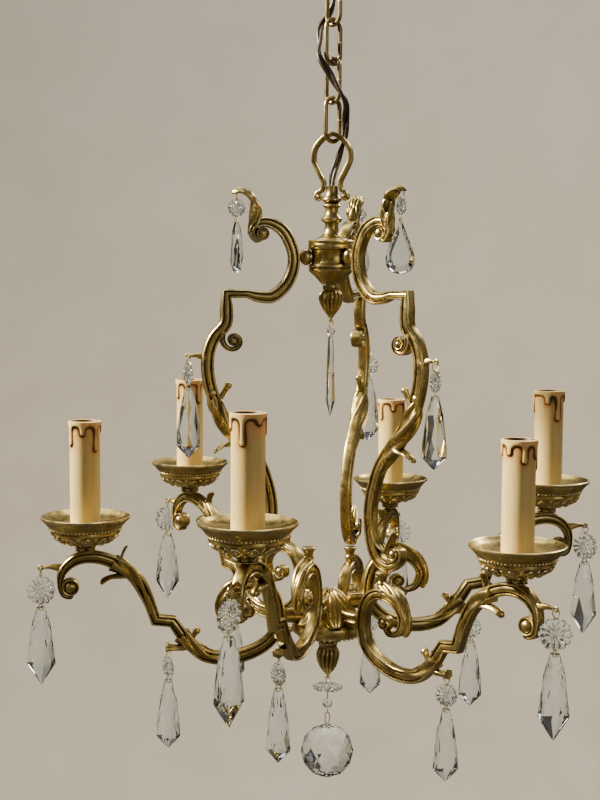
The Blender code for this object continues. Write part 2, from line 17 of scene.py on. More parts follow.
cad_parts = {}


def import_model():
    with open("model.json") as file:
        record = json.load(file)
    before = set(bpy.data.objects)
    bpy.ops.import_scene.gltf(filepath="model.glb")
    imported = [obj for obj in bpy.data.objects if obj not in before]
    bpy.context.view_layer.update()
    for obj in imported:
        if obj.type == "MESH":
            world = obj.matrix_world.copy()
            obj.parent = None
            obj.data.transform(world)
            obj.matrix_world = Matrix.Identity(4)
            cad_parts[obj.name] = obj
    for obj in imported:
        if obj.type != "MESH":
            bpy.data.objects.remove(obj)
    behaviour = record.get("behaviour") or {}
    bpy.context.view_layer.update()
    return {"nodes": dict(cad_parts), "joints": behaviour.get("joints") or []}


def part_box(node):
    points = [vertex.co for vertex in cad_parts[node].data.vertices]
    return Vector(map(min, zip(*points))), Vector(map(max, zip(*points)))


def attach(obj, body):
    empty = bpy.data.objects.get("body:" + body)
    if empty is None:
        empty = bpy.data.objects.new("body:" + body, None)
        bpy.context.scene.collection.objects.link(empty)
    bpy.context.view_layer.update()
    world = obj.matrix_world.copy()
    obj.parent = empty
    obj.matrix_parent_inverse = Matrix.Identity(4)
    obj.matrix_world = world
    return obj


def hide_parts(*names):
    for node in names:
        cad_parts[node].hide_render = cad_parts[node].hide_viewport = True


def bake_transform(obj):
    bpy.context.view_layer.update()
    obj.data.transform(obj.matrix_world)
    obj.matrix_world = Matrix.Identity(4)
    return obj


MM = 0.001  # the unit of most drawings, in metres
METRE = 1

# Places on the castings, as in the CAD, in metres
ARM_SPREAD = 0.211  # from the axis to the middle of a lower candle
PAN_RIM = -0.196  # height of a lower drip pan's rim
PAN_LIP = 0.0005  # the pan's top above that
LUG_HEIGHT = -0.288  # of a lower arm's lug
LUG_REACH = 0.0387  # from the axis to where a lug meets a lower arm

# The castings, as in the CAD, in millimetres
CASTING_HALF = 4.5  # half an arm's or a bar's thickness
BAIL_HALF = 3.1  # half the strap's breadth
LINK_WIRE = 4
LINK_WIDTH = 20
# Where the drops' wires pass through, as (x, z)
ARM_END_HOLE = (248.5, -239)
ARM_NUB_HOLE = (141, -313.5)
BAR_TOP_HOLE = (82.5, 78)
BAR_SIDE_HOLE = (123.5, -61)

BAR_COUNT = 3
LIGHT_COUNT = 6
LINK_COUNT = 4
LINK_AZIMUTHS = (120, 30)  # the first link's plane and the next one's, in turns

# A moulded section, as shares of its half height and half thickness: a low middle band, a groove on each
# side of it and a bead along each edge
QUARTER = ((0, 0.84), (0.20, 0.82), (0.36, 0.74), (0.42, 0.60), (0.45, 0.48), (0.52, 0.48), (0.56, 0.66))
QUARTER += ((0.60, 0.88), (0.68, 1.0), (0.80, 1.0), (0.90, 0.90), (0.97, 0.68), (1.0, 0.38))


def mirrored_section(quarter):
    """The whole closed section from the quarter that runs from the middle of its face to its edge."""
    half = [(-h, w) for h, w in reversed(quarter[1:])] + list(quarter)
    return half + [(h, -w) for h, w in reversed(half)]


MOULDING = mirrored_section(QUARTER)
STRAP = mirrored_section(((0, 1.0), (0.6, 1.0), (0.9, 0.9), (1.0, 0.7)))


# Mesh helpers


def between(p, q, r, s, t):
    """The Catmull-Rom value a share t of the way from q to r, where p comes before and s after."""
    square = 2 * p - 5 * q + 4 * r - s
    cube = 3 * q - p - 3 * r + s
    return 0.5 * (2 * q + (r - p) * t + square * t**2 + cube * t**3)


def smooth(points, steps):
    """Points of a Catmull-Rom curve through the given ones, with all their values."""
    line = [points[0], *points, points[-1]]
    out = []
    for corners in zip(line, line[1:], line[2:], line[3:]):
        for k in range(steps):
            out.append(tuple(between(*values, k / steps) for values in zip(*corners)))
    return [*out, tuple(points[-1])]


def polar(radius, angle):
    """The two coordinates of a point at an angle in radians."""
    return radius * math.cos(angle), radius * math.sin(angle)


def skin(bm, rings, cyclic=False, capped=True):
    """Faces between one ring of vertices and the next, and over the ends. A ring may be one vertex."""
    followers = rings[1:] + rings[:1] if cyclic else rings[1:]
    for a, b in zip(rings, followers):
        count = max(len(a), len(b))
        for k in range(count):
            m = (k + 1) % count
            corners = (a[k % len(a)], a[m % len(a)], b[m % len(b)], b[k % len(b)])
            bm.faces.new(dict.fromkeys(corners))
    if capped and not cyclic:
        for ring in (rings[0], rings[-1]):
            if len(ring) > 2:
                bm.faces.new(ring)


def sweep(bm, stations, section):
    """Skins a section along (x, z, half height, half width) stations in the y = 0 plane.

    The section lists (height, width) shares, or is a function of the share of the way along.
    """
    places = [Vector(station[:2]) for station in stations]
    ways = [(b - a).normalized() for a, b in zip(places, places[1:])]
    ways = [ways[0], *ways, ways[-1]]
    rings = []
    for i, ((x, z, high, wide), way_in, way_out) in enumerate(zip(stations, ways, ways[1:])):
        along = (way_in + way_out).normalized()
        side = Vector((-along.y, along.x)) * high / max(along.dot(way_in), 0.6)
        outline = section(i / (len(stations) - 1)) if callable(section) else section
        rings.append([bm.verts.new((x + side.x * h, wide * w, z + side.y * h)) for h, w in outline])
    skin(bm, rings)


def limb(bm, section, steps, points):
    """A sweep along the smooth curve through a few stations."""
    sweep(bm, smooth(points, steps), section)


def rope(ribs, depth, turns, sides):
    """A round section with ribs that wind round it."""

    def section(share):
        out = []
        for k in range(sides):
            angle = 2 * math.pi * k / sides
            radius = 1 - depth + depth * math.cos(ribs * angle + 2 * math.pi * turns * share)
            out.append(polar(radius, angle))
        return out

    return section


def leaf(lobes, cup, ribs, slant=0.0):
    """A cupped leaf's section, with a lobed edge and ribs that run along it, or slant across it."""

    def section(share):
        edge = 0.82 + 0.18 * abs(math.sin(math.pi * lobes * share))
        upper, lower = [], []
        for k in range(25):
            u = k / 12 - 1
            middle = cup * u * u + 0.24 * abs(math.cos(math.pi * (ribs * u / 2 + slant * share)))
            thick = 0.34 * (1 - 0.6 * u * u)
            upper.append((middle + thick, u * edge))
            lower.append((middle - thick, u * edge))
        return upper + lower[::-1]

    return section


def lathe(bm, profile, steps, place=Matrix(), flutes=None, capped=True):
    """Turns a (radius, z) profile about z. It is closed unless both ends are on the axis.

    flutes is (count, depth, low, high): ribs around the stretch between two heights.
    """
    rings = []
    for radius, z in profile:
        count = steps if radius else 1
        ring = []
        for k in range(count):
            angle = 2 * math.pi * k / steps
            scale = 1.0
            if flutes and flutes[2] < z < flutes[3]:
                scale -= flutes[1] * (0.5 - 0.5 * math.cos(flutes[0] * angle)) ** 2
            ring.append(bm.verts.new(place @ Vector((*polar(radius * scale, angle), z))))
        rings.append(ring)
    skin(bm, rings, bool(profile[0][0] and profile[-1][0]), capped)


def around(count, wide, high=None):
    """Flat points round a circle, or round an ellipse where both half sizes are given."""
    high = high or wide
    angles = [2 * math.pi * k / count for k in range(count)]
    return [(wide * math.cos(angle), high * math.sin(angle)) for angle in angles]


def pipe(bm, points, radius, sides, cyclic=False):
    """A round tube through the points."""
    count = len(points)
    rings = []
    normal = None
    for i, here in enumerate(points):
        before = points[i - 1] if cyclic or i else here
        after = points[(i + 1) % count] if cyclic or i + 1 < count else here
        way = (after - before).normalized()
        normal = way.orthogonal() if normal is None else normal
        normal = (normal - way * normal.dot(way)).normalized()
        other = way.cross(normal)
        rings.append([bm.verts.new(here + normal * u + other * v) for u, v in around(sides, radius)])
    skin(bm, rings, cyclic)


def hoop(bm, x, z, radius, wire, count):
    """A small upright ring of wire."""
    pipe(bm, [Vector((x + u, 0, z + v)) for u, v in around(count, radius)], wire, 8, cyclic=True)


def ball(bm, place, size, segments):
    """A sphere stretched to the three half sizes."""
    matrix = place @ Matrix.Diagonal((*size, 1))
    bmesh.ops.create_uvsphere(bm, u_segments=segments, v_segments=segments // 2, radius=1, matrix=matrix)


def at(x, z, y=0.0):
    return Matrix.Translation((x, y, z))


def turn(degrees, axis):
    return Matrix.Rotation(math.radians(degrees), 4, axis)


def eye(bm, x, z, radius, half):
    """A scroll's domed eye with a groove round it, right through the casting."""
    face = [
        (0, 1.0), (0.22, 0.98), (0.45, 0.88), (0.60, 0.70), (0.66, 0.56), (0.74, 0.56), (0.80, 0.70),
        (0.90, 0.74), (0.98, 0.62), (1.0, 0.40),
    ]
    profile = [(r * radius, h * half) for r, h in face]
    profile += [(r * radius, -h * half) for r, h in reversed(face)]
    lathe(bm, profile, 28, at(x, z) @ turn(90, "X"))


def bud(bm, points):
    """A round shoot in the casting's plane, through (x, z, radius) points, with a ball at its tip."""
    stations = smooth(points, 4)
    x, z, radius = stations[-1]
    sweep(bm, [(px, pz, size, size) for px, pz, size in stations[:-2]], rope(1, 0, 0, 14))
    ball(bm, at(x, z), (radius, radius, radius), 16)


def mesh_of(bm, name, sharp, unit=MM):
    """The finished mesh, smooth but for edges sharper than the angle; 0 leaves its facets flat."""
    bmesh.ops.recalc_face_normals(bm, faces=bm.faces)
    bmesh.ops.scale(bm, vec=(unit, unit, unit), verts=bm.verts)
    data = bpy.data.meshes.new(name)
    bm.to_mesh(data)
    bm.free()
    if sharp:
        data.shade_smooth()
        data.set_sharp_from_angle(angle=math.radians(sharp))
    return data


def shape(name, *steps, sharp=38, unit=MM):
    """A mesh made by functions that each add to it."""
    bm = bmesh.new()
    for step in steps:
        step(bm)
    return mesh_of(bm, name, sharp, unit)


def new_item(name, data, place=Matrix()):
    item = bpy.data.objects.new(name, data)
    bpy.context.scene.collection.objects.link(item)
    item.matrix_world = place
    return item


def piece(name, data, look, body, place, stands_for=()):
    """An object of the chandelier that rides on a body."""
    item = new_item(name, data, place)
    if not data.materials:
        data.materials.append(look)
    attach(item, body)
    if stands_for:
        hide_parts(*stands_for)


def cage_piece(name, data, look, place, *stands_for):
    piece(name, data, look, "cage", place, stands_for)


def drop_piece(drop, part, data, look, slot, place, *stands_for):
    """One piece of a drop, on the drop's own body."""
    piece(f"{drop}_{part}", data, look, f"{drop}_body", place, stands_for)


# Places, read from the frame


def hub_place():
    return Matrix.Translation((0, 0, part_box("hub_cup")[0].z))


def polar_of(node):
    """A node's azimuth in degrees and its distance from the axis."""
    low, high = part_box(node)
    middle = (low + high) / 2
    return math.degrees(math.atan2(middle.x, middle.y)), math.hypot(middle.x, middle.y)


def bar_place(number):
    azimuth, _ = polar_of(f"cage_bar_{number}")
    return hub_place() @ turn(90 - azimuth, "Z")


def arm_place(number):
    """Upper arms sit higher and closer in than lower ones, as their pans say."""
    azimuth, spread = polar_of(f"drip_pan_{number}")
    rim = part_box(f"drip_pan_{number}")[1].z
    low = Matrix.Translation((0, 0, rim - PAN_RIM - PAN_LIP))
    return low @ turn(90 - azimuth, "Z") @ at(spread - ARM_SPREAD, 0)


def light_place(number):
    return arm_place(number) @ at(ARM_SPREAD, PAN_RIM)


def hole_place(joints, node):
    """The hole that a drop hangs from, with x along the hole, and that direction in degrees."""
    joint = next(j for j in joints if j["name"] == f"{node}_swing")
    across = Vector(joint["axis"])
    azimuth = math.degrees(math.atan2(across.y, across.x))
    return Matrix.Translation(joint["pos_m"]) @ turn(azimuth, "Z"), azimuth


# Materials


def feed(tree, made, values):
    """Fills a node's inputs. Each value is a number, a colour or another node's output."""
    for key, value in values.items():
        if isinstance(value, bpy.types.NodeSocket):
            tree.links.new(value, made.inputs[key])
        else:
            made.inputs[key].default_value = value


def node(tree, kind, values=None, **settings):
    made = tree.nodes.new(kind)
    for name, value in settings.items():
        setattr(made, name, value)
    feed(tree, made, values or {})
    return made


def ramp(tree, value, stops):
    """A colour ramp. Each stop is (position, colour or grey)."""
    made = node(tree, "ShaderNodeValToRGB", {0: value})
    elements = made.color_ramp.elements
    while len(elements) < len(stops):
        elements.new(0.5)
    for element, (position, colour) in zip(elements, stops):
        element.position = position
        element.color = (*colour, 1) if isinstance(colour, tuple) else (colour, colour, colour, 1)
    return made.outputs["Color"]


def mix(tree, share, a, b, kind="MIX"):
    """A colour between two others; each is a socket or a colour."""
    colours = [colour if isinstance(colour, bpy.types.NodeSocket) else (*colour, 1) for colour in (a, b)]
    values = {0: share, 6: colours[0], 7: colours[1]}
    return node(tree, "ShaderNodeMix", values, data_type="RGBA", blend_type=kind).outputs[2]


def noise(tree, place, scale, detail, roughness=0.55):
    values = {"Vector": place, "Scale": scale, "Detail": detail, "Roughness": roughness}
    return node(tree, "ShaderNodeTexNoise", values).outputs[0]


def bump(tree, height, distance, strength, over=None):
    """A bumped normal, on top of another one if given."""
    values = {"Height": height, "Distance": distance, "Strength": strength}
    if over:
        values["Normal"] = over
    return node(tree, "ShaderNodeBump", values).outputs["Normal"]


def new_look(name):
    """A material, its node tree, its shader and the object's own coordinates."""
    look = bpy.data.materials.new(name)
    look.use_nodes = True
    tree = look.node_tree
    place = node(tree, "ShaderNodeTexCoord").outputs["Object"]
    return look, tree, tree.nodes["Principled BSDF"], place


def brass_look(name, gilt, dull, rust, smoothest=0.22, roughest=0.45):
    """Cast brass: gilt on the high places, brown patina in the hollows and painted shade, near black, in
    the deepest ones, uneven tarnish and a fine cast grain.
    """
    look, tree, shader, place = new_look(name)
    tarnish = noise(tree, place, 45, 5, 0.6)
    base = mix(tree, ramp(tree, tarnish, ((0.32, 0.0), (0.60, 1.0))), gilt, dull)
    # ambient occlusion finds the hollows: it drives the brown patina and, below, the painted shade
    depth = {"Distance": 0.0045}
    hollow = node(tree, "ShaderNodeAmbientOcclusion", depth, samples=6, only_local=True).outputs["AO"]
    stain_and_shade = noise(tree, place, 150, 5, 0.6)
    values = {0: stain_and_shade, 1: 0.5, 2: hollow}
    openness = node(tree, "ShaderNodeMath", values, operation="MULTIPLY_ADD").outputs[0]
    base = mix(tree, ramp(tree, openness, ((0.62, 1.0), (1.08, 0.0))), base, rust)
    # painted shade: where the hollows are deepest the colour goes to near black
    base = mix(tree, ramp(tree, openness, ((0.40, 0.94), (0.78, 0.0))), base, (0.020, 0.013, 0.006))
    worn = node(tree, "ShaderNodeNewGeometry").outputs["Pointiness"]
    base = mix(tree, ramp(tree, worn, ((0.52, 0.0), (0.62, 1.0))), base, (0.98, 0.80, 0.40))
    rough = ramp(tree, stain_and_shade, ((0.30, smoothest), (0.75, roughest)))
    waves = bump(tree, noise(tree, place, 190, 2, 0.5), 0.0006, 0.22)
    grain = bump(tree, noise(tree, place, 1100, 3, 0.5), 0.0002, 0.16, waves)
    feed(tree, shader, {"Base Color": base, "Roughness": rough, "Metallic": 1.0, "Normal": grain})
    return look


def glass_look():
    """Lead crystal with faint handling marks."""
    look, tree, shader, place = new_look("crystal")
    feed(tree, shader, {"Transmission Weight": 1.0, "IOR": 1.54})
    smear = ramp(tree, noise(tree, place, 130, 3, 0.6), ((0.45, 0.0), (0.80, 0.06)))
    tint = ramp(tree, noise(tree, place, 25, 2), ((0.3, (0.82, 0.89, 0.93)), (0.7, (0.90, 0.95, 0.97))))
    waves = bump(tree, noise(tree, place, 60, 2), 0.0003, 0.05)
    feed(tree, shader, {"Base Color": tint, "Roughness": smear, "Normal": waves})
    return look


def candle_look():
    """A cream sleeve. The edges of the wax runs are stained amber to brown, with a dark line that is
    partly painted shade in the crease at the wax's edge; the inside of the tube is painted near black as
    shade.
    """
    look, tree, shader, place = new_look("candle_cream")
    stretched = node(tree, "ShaderNodeMapping", {"Vector": place, "Scale": (1.0, 1.0, 0.12)}).outputs[0]
    streak = noise(tree, stretched, 420, 4, 0.6)
    cream = ramp(tree, streak, ((0.30, (0.76, 0.53, 0.17)), (0.70, (0.84, 0.62, 0.23))))
    stain_and_shade = node(tree, "ShaderNodeAttribute", attribute_name="stain_and_shade").outputs["Fac"]
    # the ramp's dark end is partly painted shade: the line at the wax's edge and the near-black inside of
    # the tube
    amber = ((0.0, (1.0, 1.0, 1.0)), (0.25, (0.78, 0.53, 0.29)))
    brown = ramp(tree, stain_and_shade, (*amber, (0.52, (0.28, 0.155, 0.075)), (0.9, (0.02, 0.012, 0.008))))
    tinted = mix(tree, 1.0, cream, brown, "MULTIPLY")
    grain = bump(tree, noise(tree, place, 500, 3), 0.0002, 0.20)
    feed(tree, shader, {"Base Color": tinted, "Roughness": 0.46, "Normal": grain})
    feed(tree, shader, {"Subsurface Weight": 0.12, "Subsurface Scale": 0.004})
    return look


def plain_look(name, dark, light, scale, roughness, metallic=0.0, stretch=(1.0, 1.0, 1.0)):
    """A material with mottled colour and a fine grain, for rubber, moulding and steel."""
    look, tree, shader, place = new_look(name)
    stretched = node(tree, "ShaderNodeMapping", {"Vector": place, "Scale": stretch}).outputs[0]
    mottle = noise(tree, stretched, scale, 5, 0.6)
    colour = ramp(tree, mottle, ((0.35, dark), (0.68, light)))
    rough = ramp(tree, mottle, ((0.3, roughness * 0.75), (0.7, roughness * 1.25)))
    grain = bump(tree, noise(tree, stretched, scale * 6, 3), 0.0002, 0.25)
    feed(tree, shader, {"Base Color": colour, "Roughness": rough, "Metallic": metallic, "Normal": grain})
    return look


# Castings


def rail(points, steps=5):
    """The stations of a casting's line through (x, z, half height) points."""
    return smooth([(*point, CASTING_HALF) for point in points], steps)


def arm_shape():
    outer = rail([
        (222, -259, 1), (223.5, -264.5, 1.5), (230, -262.5, 2), (232.5, -254, 2.5), (230.5, -243, 3.8),
        (222.5, -234.5, 4.8), (211, -231, 5.2), (197, -232.5, 5.4), (181, -240, 5.5), (167, -253, 5.5),
        (158, -270, 5),
    ])
    step = rail([(152, -287.5, 4.8), (137.5, -289.5, 4.8)], 1)
    inner = rail([
        (127, -305, 5.5), (110, -320, 5.8), (86, -323.5, 6), (62, -316.5, 5.8), (48, -304, 5.5),
        (44.5, -288, 5.5), (48.5, -271, 5.3), (58, -261.5, 5), (72, -259.5, 5), (86, -265, 4.8),
        (93, -277, 4), (88, -288.5, 2.8), (78, -291.5, 1.8), (72.5, -287, 1),
    ])
    end_x, end_z = ARM_END_HOLE
    nub_x, nub_z = ARM_NUB_HOLE

    def build(bm):
        sweep(bm, outer + step + inner, MOULDING)
        eye(bm, 224, -256, 7.4, 7)
        eye(bm, 71.5, -283, 6, 6.2)
        # the twisted leaf behind the outer scroll forks into a shoot above and one below
        sheath(bm, [(188, -236.2), (176.5, -243), (167, -253), (159.5, -267), (154.5, -281)])
        limb(bm, leaf(1, 0.3, 1), 5, [
            (183.5, -242.5, 5, 4.6), (182.2, -235, 3.8, 3.6), (180.5, -228.5, 3.2, 3.4),
            (178, -223.8, 3.6, 4.2), (175.8, -222.2, 1.8, 2.6),
        ])
        limb(bm, leaf(1, -0.4, 1), 5, [
            (174.5, -247, 5.6, 5), (183, -248, 4, 4.2), (190.5, -248.8, 3.2, 4), (196.2, -251.5, 3.6, 4.6),
            (198, -254.8, 1.8, 2.8),
        ])
        # inside the step, a bud above and the trumpet-shaped leaf that carries a drop below
        bud(bm, [(123.5, -310, 3.6), (120.5, -305, 2.4), (118, -301, 2.4), (116.5, -298.5, 3.4)])
        limb(bm, rope(6, 0.08, 0.2, 36), 5, [
            (120, -308.5, 5, 4.4), (127, -312.2, 3.6, 3.6), (133.5, -312.8, 2.8, 3.2),
            (nub_x - 2.2, nub_z + 1, 3.2, 4.2), (nub_x + 1.2, nub_z + 1.6, 4.4, 5.4),
            (nub_x + 2, nub_z + 1.7, 4, 5),
        ])
        sheath(bm, [(130, -301.5), (120, -312), (108, -319.5), (96, -322.8)])
        wire_ear(bm, 231, end_x, end_z)
        # the twisted leaf over the inner scroll, with its flat-topped tip
        limb(bm, rope(4, 0.20, 1.5, 40), 8, [
            (65, -251, 3.4, 4), (71.5, -253, 5, 5.8), (79, -256, 6, 6.6), (86.5, -261, 6.2, 6.8),
            (92.5, -268.5, 5.6, 6.2), (96.2, -277, 4.6, 5.2), (96.5, -284.5, 3.4, 4.2),
            (94, -290.5, 2, 2.8),
        ])
        seat_turning(bm)

    return shape("arm", build)


def seat_turning(bm):
    """The turned seat on top of the inner scroll, which a cage bar's foot stands on."""
    profile = [
        (0, -240.5), (5.2, -240.6), (5.8, -241.2), (5.8, -242.6), (5.2, -243.4), (4.4, -244.8),
        (3.8, -246.6), (3.8, -248.2), (4.6, -249.2), (4.8, -250), (4.4, -250.8), (4, -253), (4.6, -260),
        (0, -261),
    ]
    lathe(bm, profile, 32, at(66.5, 0))


def sheath(bm, points):
    """A twisted leaf that clasps the casting, from its broad end to its narrow one."""
    stations = []
    for k, (x, z) in enumerate(points):
        share = 1 - k / (len(points) - 1)
        stations.append((x, z, 4.8 + 3.4 * share, 4.2 + 3.2 * share))
    limb(bm, rope(4, 0.20, 1.5, 48), 9, stations)


def wire_ear(bm, start, x, z):
    """The small spur that ends in the pierced ear for a drop's wire."""
    middle = (start + x) / 2
    stem = [(start, z - 1.4, 4.4, 3.6), (middle, z + 0.4, 2.4, 2.4), (x - 1.8, z, 1.2, 1.2)]
    limb(bm, rope(3, 0.10, 0.3, 24), 5, stem)
    hoop(bm, x, z, 1.8, 0.8, 16)


def bar_shape():
    upper = rail([
        (60, 39, 1.2), (65.5, 37, 1.8), (70, 44, 2.5), (65.5, 51.5, 3.5), (54, 52.5, 4.5), (41, 44, 5),
        (33, 24, 5), (37, 4, 5.2), (50, -9.5, 5.5), (63, -10.5, 5), (73, -8, 3.6),
    ])
    shelf = [(91, -8, 3.8, CASTING_HALF)]
    lower = rail([
        (91, -20, 5.5), (92, -34, 5.5), (102, -46, 5.2), (107, -62, 5.5), (106, -82, 5.5), (98, -106, 5.5),
        (80, -130, 5.5), (62, -153, 5.3), (52, -185, 5.3), (53, -212, 5.3), (60, -228, 5.2),
        (72, -235, 4.8), (85, -230, 3.5), (88, -221, 2.2), (83, -218, 1.2),
    ])
    top_x, top_z = BAR_TOP_HOLE
    side_x, side_z = BAR_SIDE_HOLE

    def build(bm):
        sweep(bm, upper + shelf + lower, MOULDING)
        eye(bm, 60.5, 43, 5.8, 6.2)
        eye(bm, 80.5, -223, 5.2, 6)
        shoulder_scroll(bm)
        # the leaf at the top: a twisted stem that opens and curls over to the hole
        limb(bm, rope(4, 0.20, 1.1, 40), 8, [
            (70.4, 42, 3, 4.8), (68.4, 49, 5.2, 6), (66.8, 56, 6.2, 6.6), (66.4, 63, 5.6, 6),
            (68, 69.5, 3.6, 5),
        ])
        limb(bm, leaf(3.5, -0.45, 5, 0.8), 7, [
            (66.4, 59, 5, 5.8), (66.2, 66, 4.8, 7.4), (68.5, 72.5, 5, 8), (73.5, 77.4, 5, 7.8),
            (top_x - 3, top_z + 1.2, 4.6, 6.8), (top_x + 2, top_z - 0.2, 3.6, 4.8),
            (top_x + 3.6, top_z - 1, 1.6, 2.6),
        ])
        wire_ear(bm, 109, side_x, side_z)
        # beside the lower bend, a bud inside and a leaf outside, with the twisted leaf between them
        bud(bm, [(101, -105, 3.6), (96, -97, 2.4), (91.5, -89.5, 2.4), (89.2, -86.2, 3.2)])
        limb(bm, rope(4, 0.20, 2.4, 48), 10, [
            (103, -94.5, 4.4, 4), (100, -103.5, 8, 7.4), (93.5, -115.5, 8.6, 8), (85, -126.5, 8.2, 7.6),
            (76.2, -136.8, 7.4, 6.8), (68.2, -147, 6.4, 5.8), (61.8, -156.8, 4.8, 4.2),
        ])
        ball(bm, at(103.5, -92.5), (5, 5, 5), 18)
        limb(bm, leaf(2.5, -0.5, 3, 0.5), 6, [
            (80, -133, 4.6, 5.6), (87, -136.2, 3.4, 6), (94.5, -138.5, 2.8, 5.4), (99.5, -141.8, 2.4, 4.2),
            (101.2, -144.8, 1.4, 2.4),
        ])
        # the foot: a leaf over its scroll
        limb(bm, leaf(2.5, 0.4, 3, 0.6), 6, [
            (54, -205, 4.6, 4.8), (61, -218.5, 4, 5.6), (72, -223.5, 3.4, 5.4), (77.5, -212, 2.8, 4.6),
            (80, -205, 1.6, 2.4),
        ])

    return shape("cage_bar", build)


def shoulder_scroll(bm):
    """The small scroll under the cage bar's step, wound once about its eye."""
    x, z = 85, -48
    line = []
    for k in range(33):
        share = k / 32
        u, v = polar(12.2 - 8.6 * math.sqrt(share), math.radians(42 - 400 * share))
        line.append((x + u, z + v, 2.4 - share, 4.8))
    sweep(bm, line, MOULDING)
    eye(bm, x, z, 4.6, 6.6)


def bail_shape():
    """A pear-shaped strap whose feet curl out beside the neck."""
    side = [
        (11.2, 76.5, 1), (10, 74.5, 1.1), (12.2, 72.8, 1.2), (14.2, 75.2, 1.3), (12.6, 78.8, 1.5),
        (8.6, 81.2, 1.7), (7.6, 88, 2), (12, 97, 2), (16.5, 108, 2), (13, 120, 2),
    ]
    other = [(-x, z, high) for x, z, high in reversed(side)]
    line = smooth([(*point, BAIL_HALF) for point in [*side, (0, 128.7, 2), *other]], 6)

    def build(bm):
        sweep(bm, line, STRAP)
        for x in (11.6, -11.6):
            eye(bm, x, 75.8, 2.4, 4.2)

    return shape("bail", build)


# Turned pieces


def turned(name, profile, steps, flutes=None):
    return shape(name, lambda bm: lathe(bm, profile, steps, flutes=flutes))


def neck_shape():
    outside = [
        (4.8, 84.5), (5.4, 84.2), (5, 81.5), (5.5, 77.5), (7.4, 74.6), (8.4, 73.6), (8.6, 72.6),
        (8.2, 71.6), (6.4, 70.8), (5.6, 69.8), (7, 69), (7.7, 67.8), (7, 66.6), (5.6, 65.6), (5.4, 62.5),
        (6.2, 60), (8, 58.2), (9.1, 56.6), (9, 55), (7.8, 53.8), (6.2, 53), (5.8, 51.5), (5.8, 48.5),
        (6.6, 45.2), (8.8, 42), (12, 40), (14, 39.2), (14.3, 38.8),
    ]
    bore = [(5.1, 38.8), (5.1, 50), (3.6, 62), (3.6, 84.5)]
    return turned("hub_neck", outside + bore, 48)


def cup_shape():
    profile = [
        (5.1, 38.5), (15, 38.6), (19.2, 38.2), (20, 37.4), (20, 35.8), (19.5, 35), (20, 34.2), (20, 31.2),
        (19.3, 30.3), (17.8, 29.8), (17.1, 28.8), (17, 24), (17.1, 19), (17.8, 17.8), (19.2, 17),
        (19.5, 16), (19.5, 14.8), (18.8, 14.2), (19.5, 13.6), (19.5, 12.2), (18.8, 11.2), (16.6, 9.2),
        (14, 7), (11.8, 4.4), (9.6, 2), (7.6, 0.0), (5.1, 0.0),
    ]

    def build(bm):
        lathe(bm, profile, 64)
        for number in range(BAR_COUNT):
            out = turn(90 - 360 / BAR_COUNT * number, "Z")
            ball(bm, out @ at(22.2, 23.6), (5.6, 5.6, 7.2), 24)
            lathe(bm, [(0, 18), (4.8, 18), (4.8, 19.6), (0, 19.6)], 24, out @ at(0, 23.6) @ turn(90, "Y"))

    return shape("hub_cup", build)


def hub_finial_shape():
    profile = [(0, -0.3), (7, -0.3), (7.4, -1.2), (7.4, -2.8), (6.8, -4)]
    profile += smooth([(7.2, -5), (9.6, -7.2), (10.8, -11), (9.8, -15.5)], 3)
    profile += smooth([(7.8, -20), (5.2, -23.8), (3, -26.4)], 3)
    profile += [(2.2, -28.4), (0, -28.8)]
    return turned("hub_finial", profile, 96, (16, 0.13, -26.2, -4.6))


def acorn_shape():
    profile = [(0, -313), (8.4, -313.8), (8.6, -315), (8, -316.2), (7.8, -317.5)]
    profile += smooth([(8.4, -319), (10.1, -322.2), (10.4, -325), (9.7, -330)], 3)
    profile += smooth([(7.8, -335), (5.2, -339.2), (3, -341.8), (1.8, -343.2)], 3)
    return turned("bottom_finial", [*profile, (0, -344)], 96, (14, 0.16, -342.8, -318))


def tip_ears(bm):
    """The pierced ears under the two finials: rings of metal round the wires."""
    for z in (-30.2, -344.8):
        hoop(bm, 0, z, 1.9, 0.7, 20)


def dish_shape():
    """The boss with its rim band and beads, and the leaves round the top."""
    profile = [
        (5.1, -270), (10, -270), (14, -272.2), (17.5, -276.8), (20.4, -282.2), (22.6, -287),
        (24.6, -291.2), (26.8, -293.8), (30, -295), (31.6, -296.2), (32, -297.6), (32, -302.2),
        (31.4, -303.6), (30, -304.2), (28.8, -305.2), (27.2, -306.2), (24, -306.6), (20.5, -308),
        (18.5, -308.6), (14, -310.2), (11.2, -312.2), (9.2, -313.5), (5.1, -313.5),
    ]

    def build(bm):
        lathe(bm, profile, 72)
        for number in range(36):
            ball(bm, turn(10 * number, "Z") @ at(26.2, -306.8), (1.3, 1.3, 1.1), 8)
        for number in range(LIGHT_COUNT):
            petal = [
                (5, -267.6, 3.4, 3), (10.5, -269.6, 3.4, 6), (15.8, -274.4, 3.4, 8.6),
                (20.5, -281.2, 3.2, 9.8), (24.8, -287.6, 3, 9), (30.5, -292.2, 2.4, 6.2),
            ]
            turned_leaf(bm, smooth([*petal, (34.5, -293.2, 1.4, 3)], 5), 60 * number)

    return shape("dish", build)


def turned_leaf(bm, stations, azimuth):
    """A leaf in the upright plane at an azimuth of the piece that it lies on."""
    start = len(bm.verts)
    sweep(bm, stations, leaf(2, -0.6, 3))
    bm.verts.ensure_lookup_table()
    bmesh.ops.transform(bm, matrix=turn(azimuth, "Z"), verts=bm.verts[start:])


